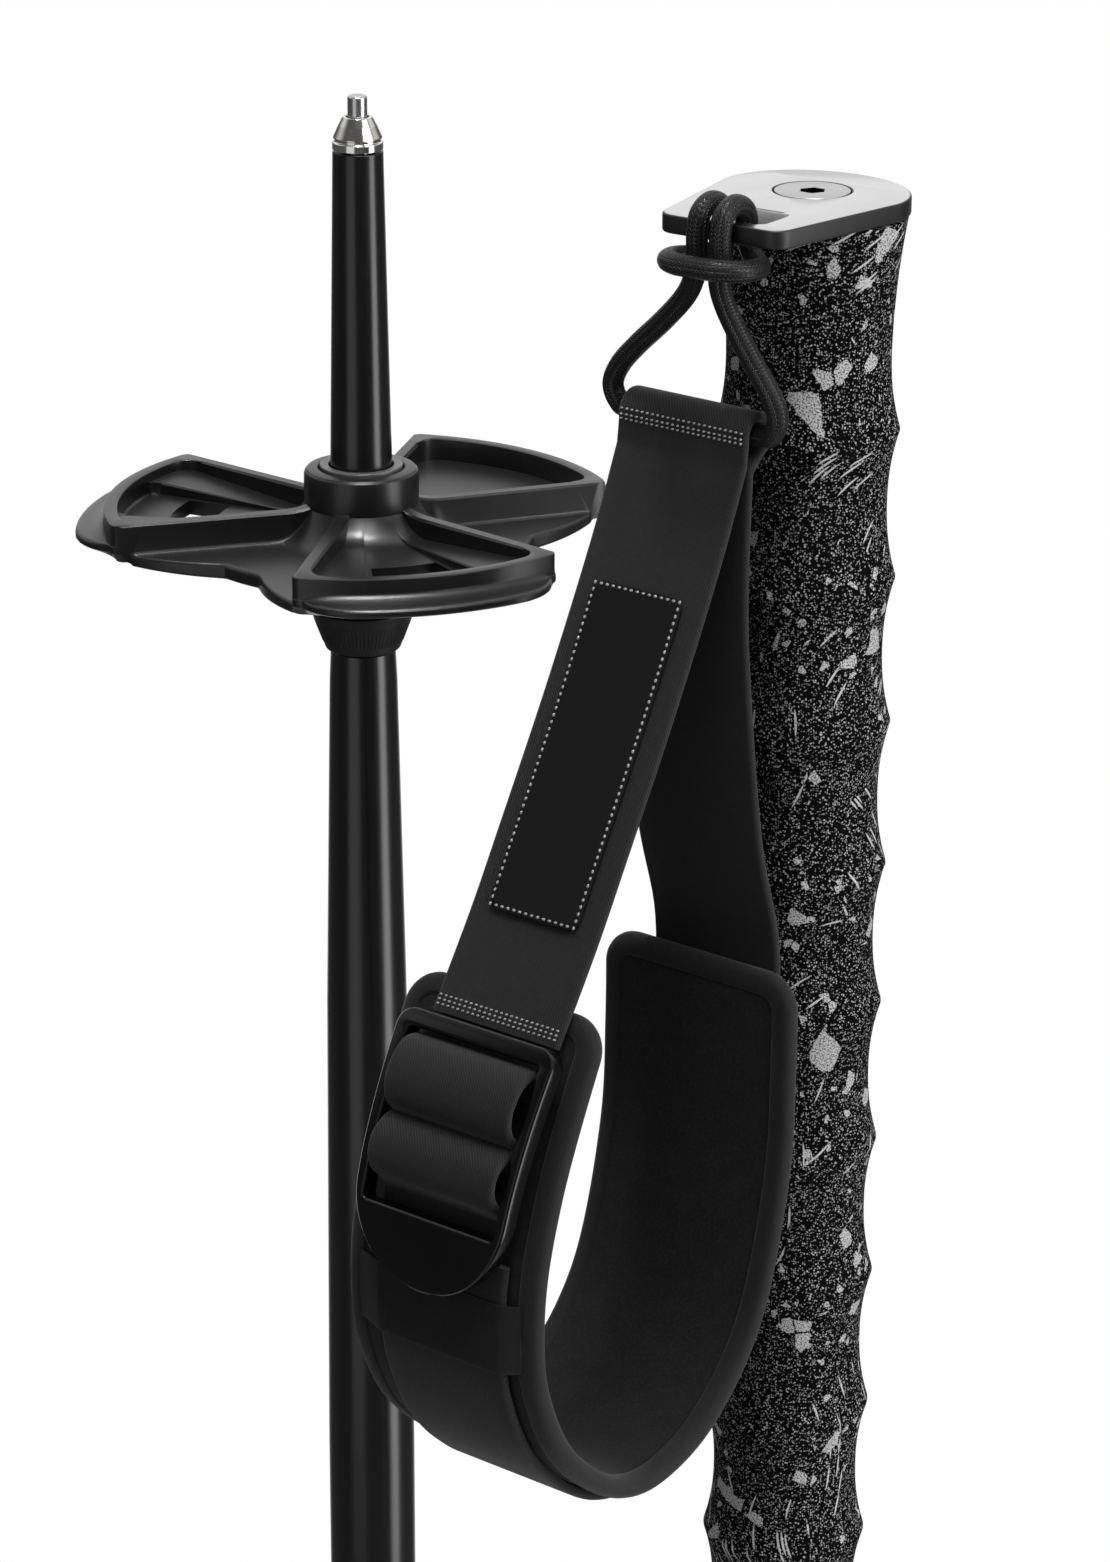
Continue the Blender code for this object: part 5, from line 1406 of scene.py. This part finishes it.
def keeper_mesh():
    """The elastic's middle line goes over the webbing in X and off the pad; its width runs along the pad."""
    half_way = len(PAD_COURSE) // 2
    at = min(range(half_way), key=lambda i: abs(PAD_COURSE[i].y - KEEPER_Z))
    along_pad = run_lengths(PAD_COURSE)[at]
    face = PAD_THICKNESS / MM / 2
    foot = face + KEEPER_FOOT
    over = face + (PAD_GAP + WEB_THICKNESS + KEEPER_THICKNESS / 2) / MM + KEEPER_CLEAR
    beside, below = KEEPER_SHOULDER
    reach = (PAD_HALF - KEEPER_TUCK) / MM
    left, right = ((STRAP_X - PAD_X + edge * WEB_WIDTH / 2) / MM for edge in (-1, 1))
    arch = [(-reach, foot), (KEEPER_BEND - reach, foot + KEEPER_CLEAR)]
    arch += [(left - beside, over - below), (left + KEEPER_BEND, over)]
    arch += [(x, over + KEEPER_CROWN) for x in (left / 2, 0.0, right / 2)]
    arch += [(right - KEEPER_BEND, over), (right + beside, over - below), (reach, foot)]
    line = paced(smooth_line(in_metres(arch), 6), 0.4 * MM)
    widths = [KEEPER_LENGTH * (i / KEEPER_COLUMNS - 0.5) for i in range(KEEPER_COLUMNS + 1)]
    lengths = run_lengths(line)
    rows = []
    for here, run in zip(line, headings(line)):
        row = []
        for hand, columns in ((1, widths), (-1, widths[::-1])):
            for w in columns:
                edge = max(0.0, min(1.0, (KEEPER_LENGTH / 2 - abs(w)) / KEEPER_EDGE)) ** 0.5
                off = hand * KEEPER_THICKNESS / 2 * (KEEPER_HEM + (1.0 - KEEPER_HEM) * edge)
                row.append(on_pad(here.x - run.y * off, along_pad + w, here.y + run.x * off))
        rows.append(row)
    unrolled_widths = widths + widths[::-1] + widths[:1]
    return skin(rows, unrolled=lambda i, j: (lengths[i], unrolled_widths[j]), sharp=60.0)


keeper_finish, cloth = new_finish("black_elastic", "UV", specular=0.2, sheen=0.1)
cross_yarn = cloth.axis("X").waves(ELASTIC_PITCH[0]) * cloth.axis("Y").waves(ELASTIC_PITCH[1])
lint = cloth.noise(1100.0, 3.0)
keeper_tone = (cross_yarn * 0.2 + lint).rise(0.2, 0.8).tint(0.0022, 0.007)
dress(keeper_tone, lint * 0.15 + 0.72, cross_yarn * 0.5 + lint * 0.5, 0.03, 0.5)
add_pairs(strap_place, ("elastic_keeper", keeper_mesh(), keeper_finish, "strap", "keeper", "keeper_band"))

# The ladder buckle: an arched frame moulded in satin black acetal, with a window crossed by two round bars
# and a rounded finger tab. The webbing's end waves over the bars, so the buckle grips it when it lies flat.
BUCKLE_LINE = ((-77.4, -117.2), (-83.2, -127.5), (-88.0, -138.5), (-91.0, -149.5), (-91.8, -156.0))
BUCKLE_COURSE = paced(smooth_line(in_metres(BUCKLE_LINE), 8), 0.5 * MM)
BUCKLE_LENGTH = run_lengths(BUCKLE_COURSE)[-1] / MM
BUCKLE_HALF = 15.5
BUCKLE_TAB = 14.9
BUCKLE_THICKNESS = 3.4
BUCKLE_EDGE = 0.6
BUCKLE_RAIL = 2.6
BUCKLE_TOP_RAIL = 3.0
BUCKLE_WINDOW = 27.2
WINDOW_CORNER = 0.7
BUCKLE_CORNER = 3.2
BUCKLE_BAR = 1.6 * MM
BAR_SIDES = 32
BUCKLE_BARS = (10.3, 21.6)
ROLL_LINE = (
    (1.7, -2.9), (3.2, -2.75), (4.2, -1.4), (4.5, 0.3), (5.7, 2.3), (8.2, 3.4), (11.4, 3.6), (14.2, 2.2),
    (16.0, -0.6), (17.8, 1.4), (20.2, 3.0), (23.0, 2.9), (25.0, 1.4), (26.2, -0.8), (27.6, -2.5),
    (30.5, -3.0),
)


def on_buckle(along, off):
    """A place by its run along the buckle's arched middle and its lift off it, in millimetres."""
    here, run = walk(BUCKLE_COURSE, along * MM)
    return here + Vector((run.y, -run.x)) * off * MM


def buckle_mesh():
    """The frame is blanked flat, cut across at every millimetre and bent to the arch. Then come the bars."""
    shoulder = BUCKLE_HALF - BUCKLE_CORNER
    outline = arc((shoulder, -BUCKLE_CORNER), BUCKLE_CORNER, 0.0, 90.0, 9)
    outline += arc((-shoulder, -BUCKLE_CORNER), BUCKLE_CORNER, 90.0, 180.0, 9)
    outline += arc((0.0, BUCKLE_TAB - BUCKLE_LENGTH), BUCKLE_TAB, 180.0, 360.0, 49)
    rail = BUCKLE_HALF - BUCKLE_RAIL
    top, low = -BUCKLE_TOP_RAIL, -BUCKLE_TOP_RAIL - BUCKLE_WINDOW
    window = eased(((rail, top), (-rail, top), (-rail, low), (rail, low)), WINDOW_CORNER)
    flat = blanked([outline, window], BUCKLE_THICKNESS, BUCKLE_EDGE)
    shape = bmesh.new()
    shape.from_mesh(flat)
    for i in range(1, round(BUCKLE_LENGTH)):
        everything = shape.verts[:] + shape.edges[:] + shape.faces[:]
        bmesh.ops.bisect_plane(shape, geom=everything, plane_co=(0.0, -i * MM, 0.0), plane_no=(0.0, 1.0, 0.0))
    for vert in shape.verts:
        bent = on_buckle(-vert.co.y / MM, vert.co.z / MM)
        vert.co = (STRAP_X + vert.co.x, bent.x, bent.y)
    shape.to_mesh(flat)
    shape.free()
    meshes = [close_up(flat, 28.0)]
    reach = (BUCKLE_HALF - BUCKLE_RAIL / 2) * MM
    for along in BUCKLE_BARS:
        middle = on_buckle(along, 0.0)
        ends = [Vector((STRAP_X + x, *middle)) for x in (-reach, -reach / 3, reach / 3, reach)]
        meshes.append(round_tube(ends, BUCKLE_BAR, BAR_SIDES))
    return joined(meshes)


buckle_finish, spot = new_finish("satin_acetal", specular=0.4)
wear = spot.noise(180.0, 4.0)
dress(wear.tint(0.0008, 0.0015), wear * 0.08 + 0.15, spot.noise(2400.0), 0.006, 0.4)
line = paced(smooth_line([on_buckle(along, off) for along, off in ROLL_LINE], 6), 0.4 * MM)
add_pairs(
    strap_place,
    ("strap_buckle", buckle_mesh(), buckle_finish, "buckle", "buckle", "ladder_buckle"),
    ("buckle_tape", tape(line), web_finish, "buckle", "webbing", "buckle_webbing"),
)
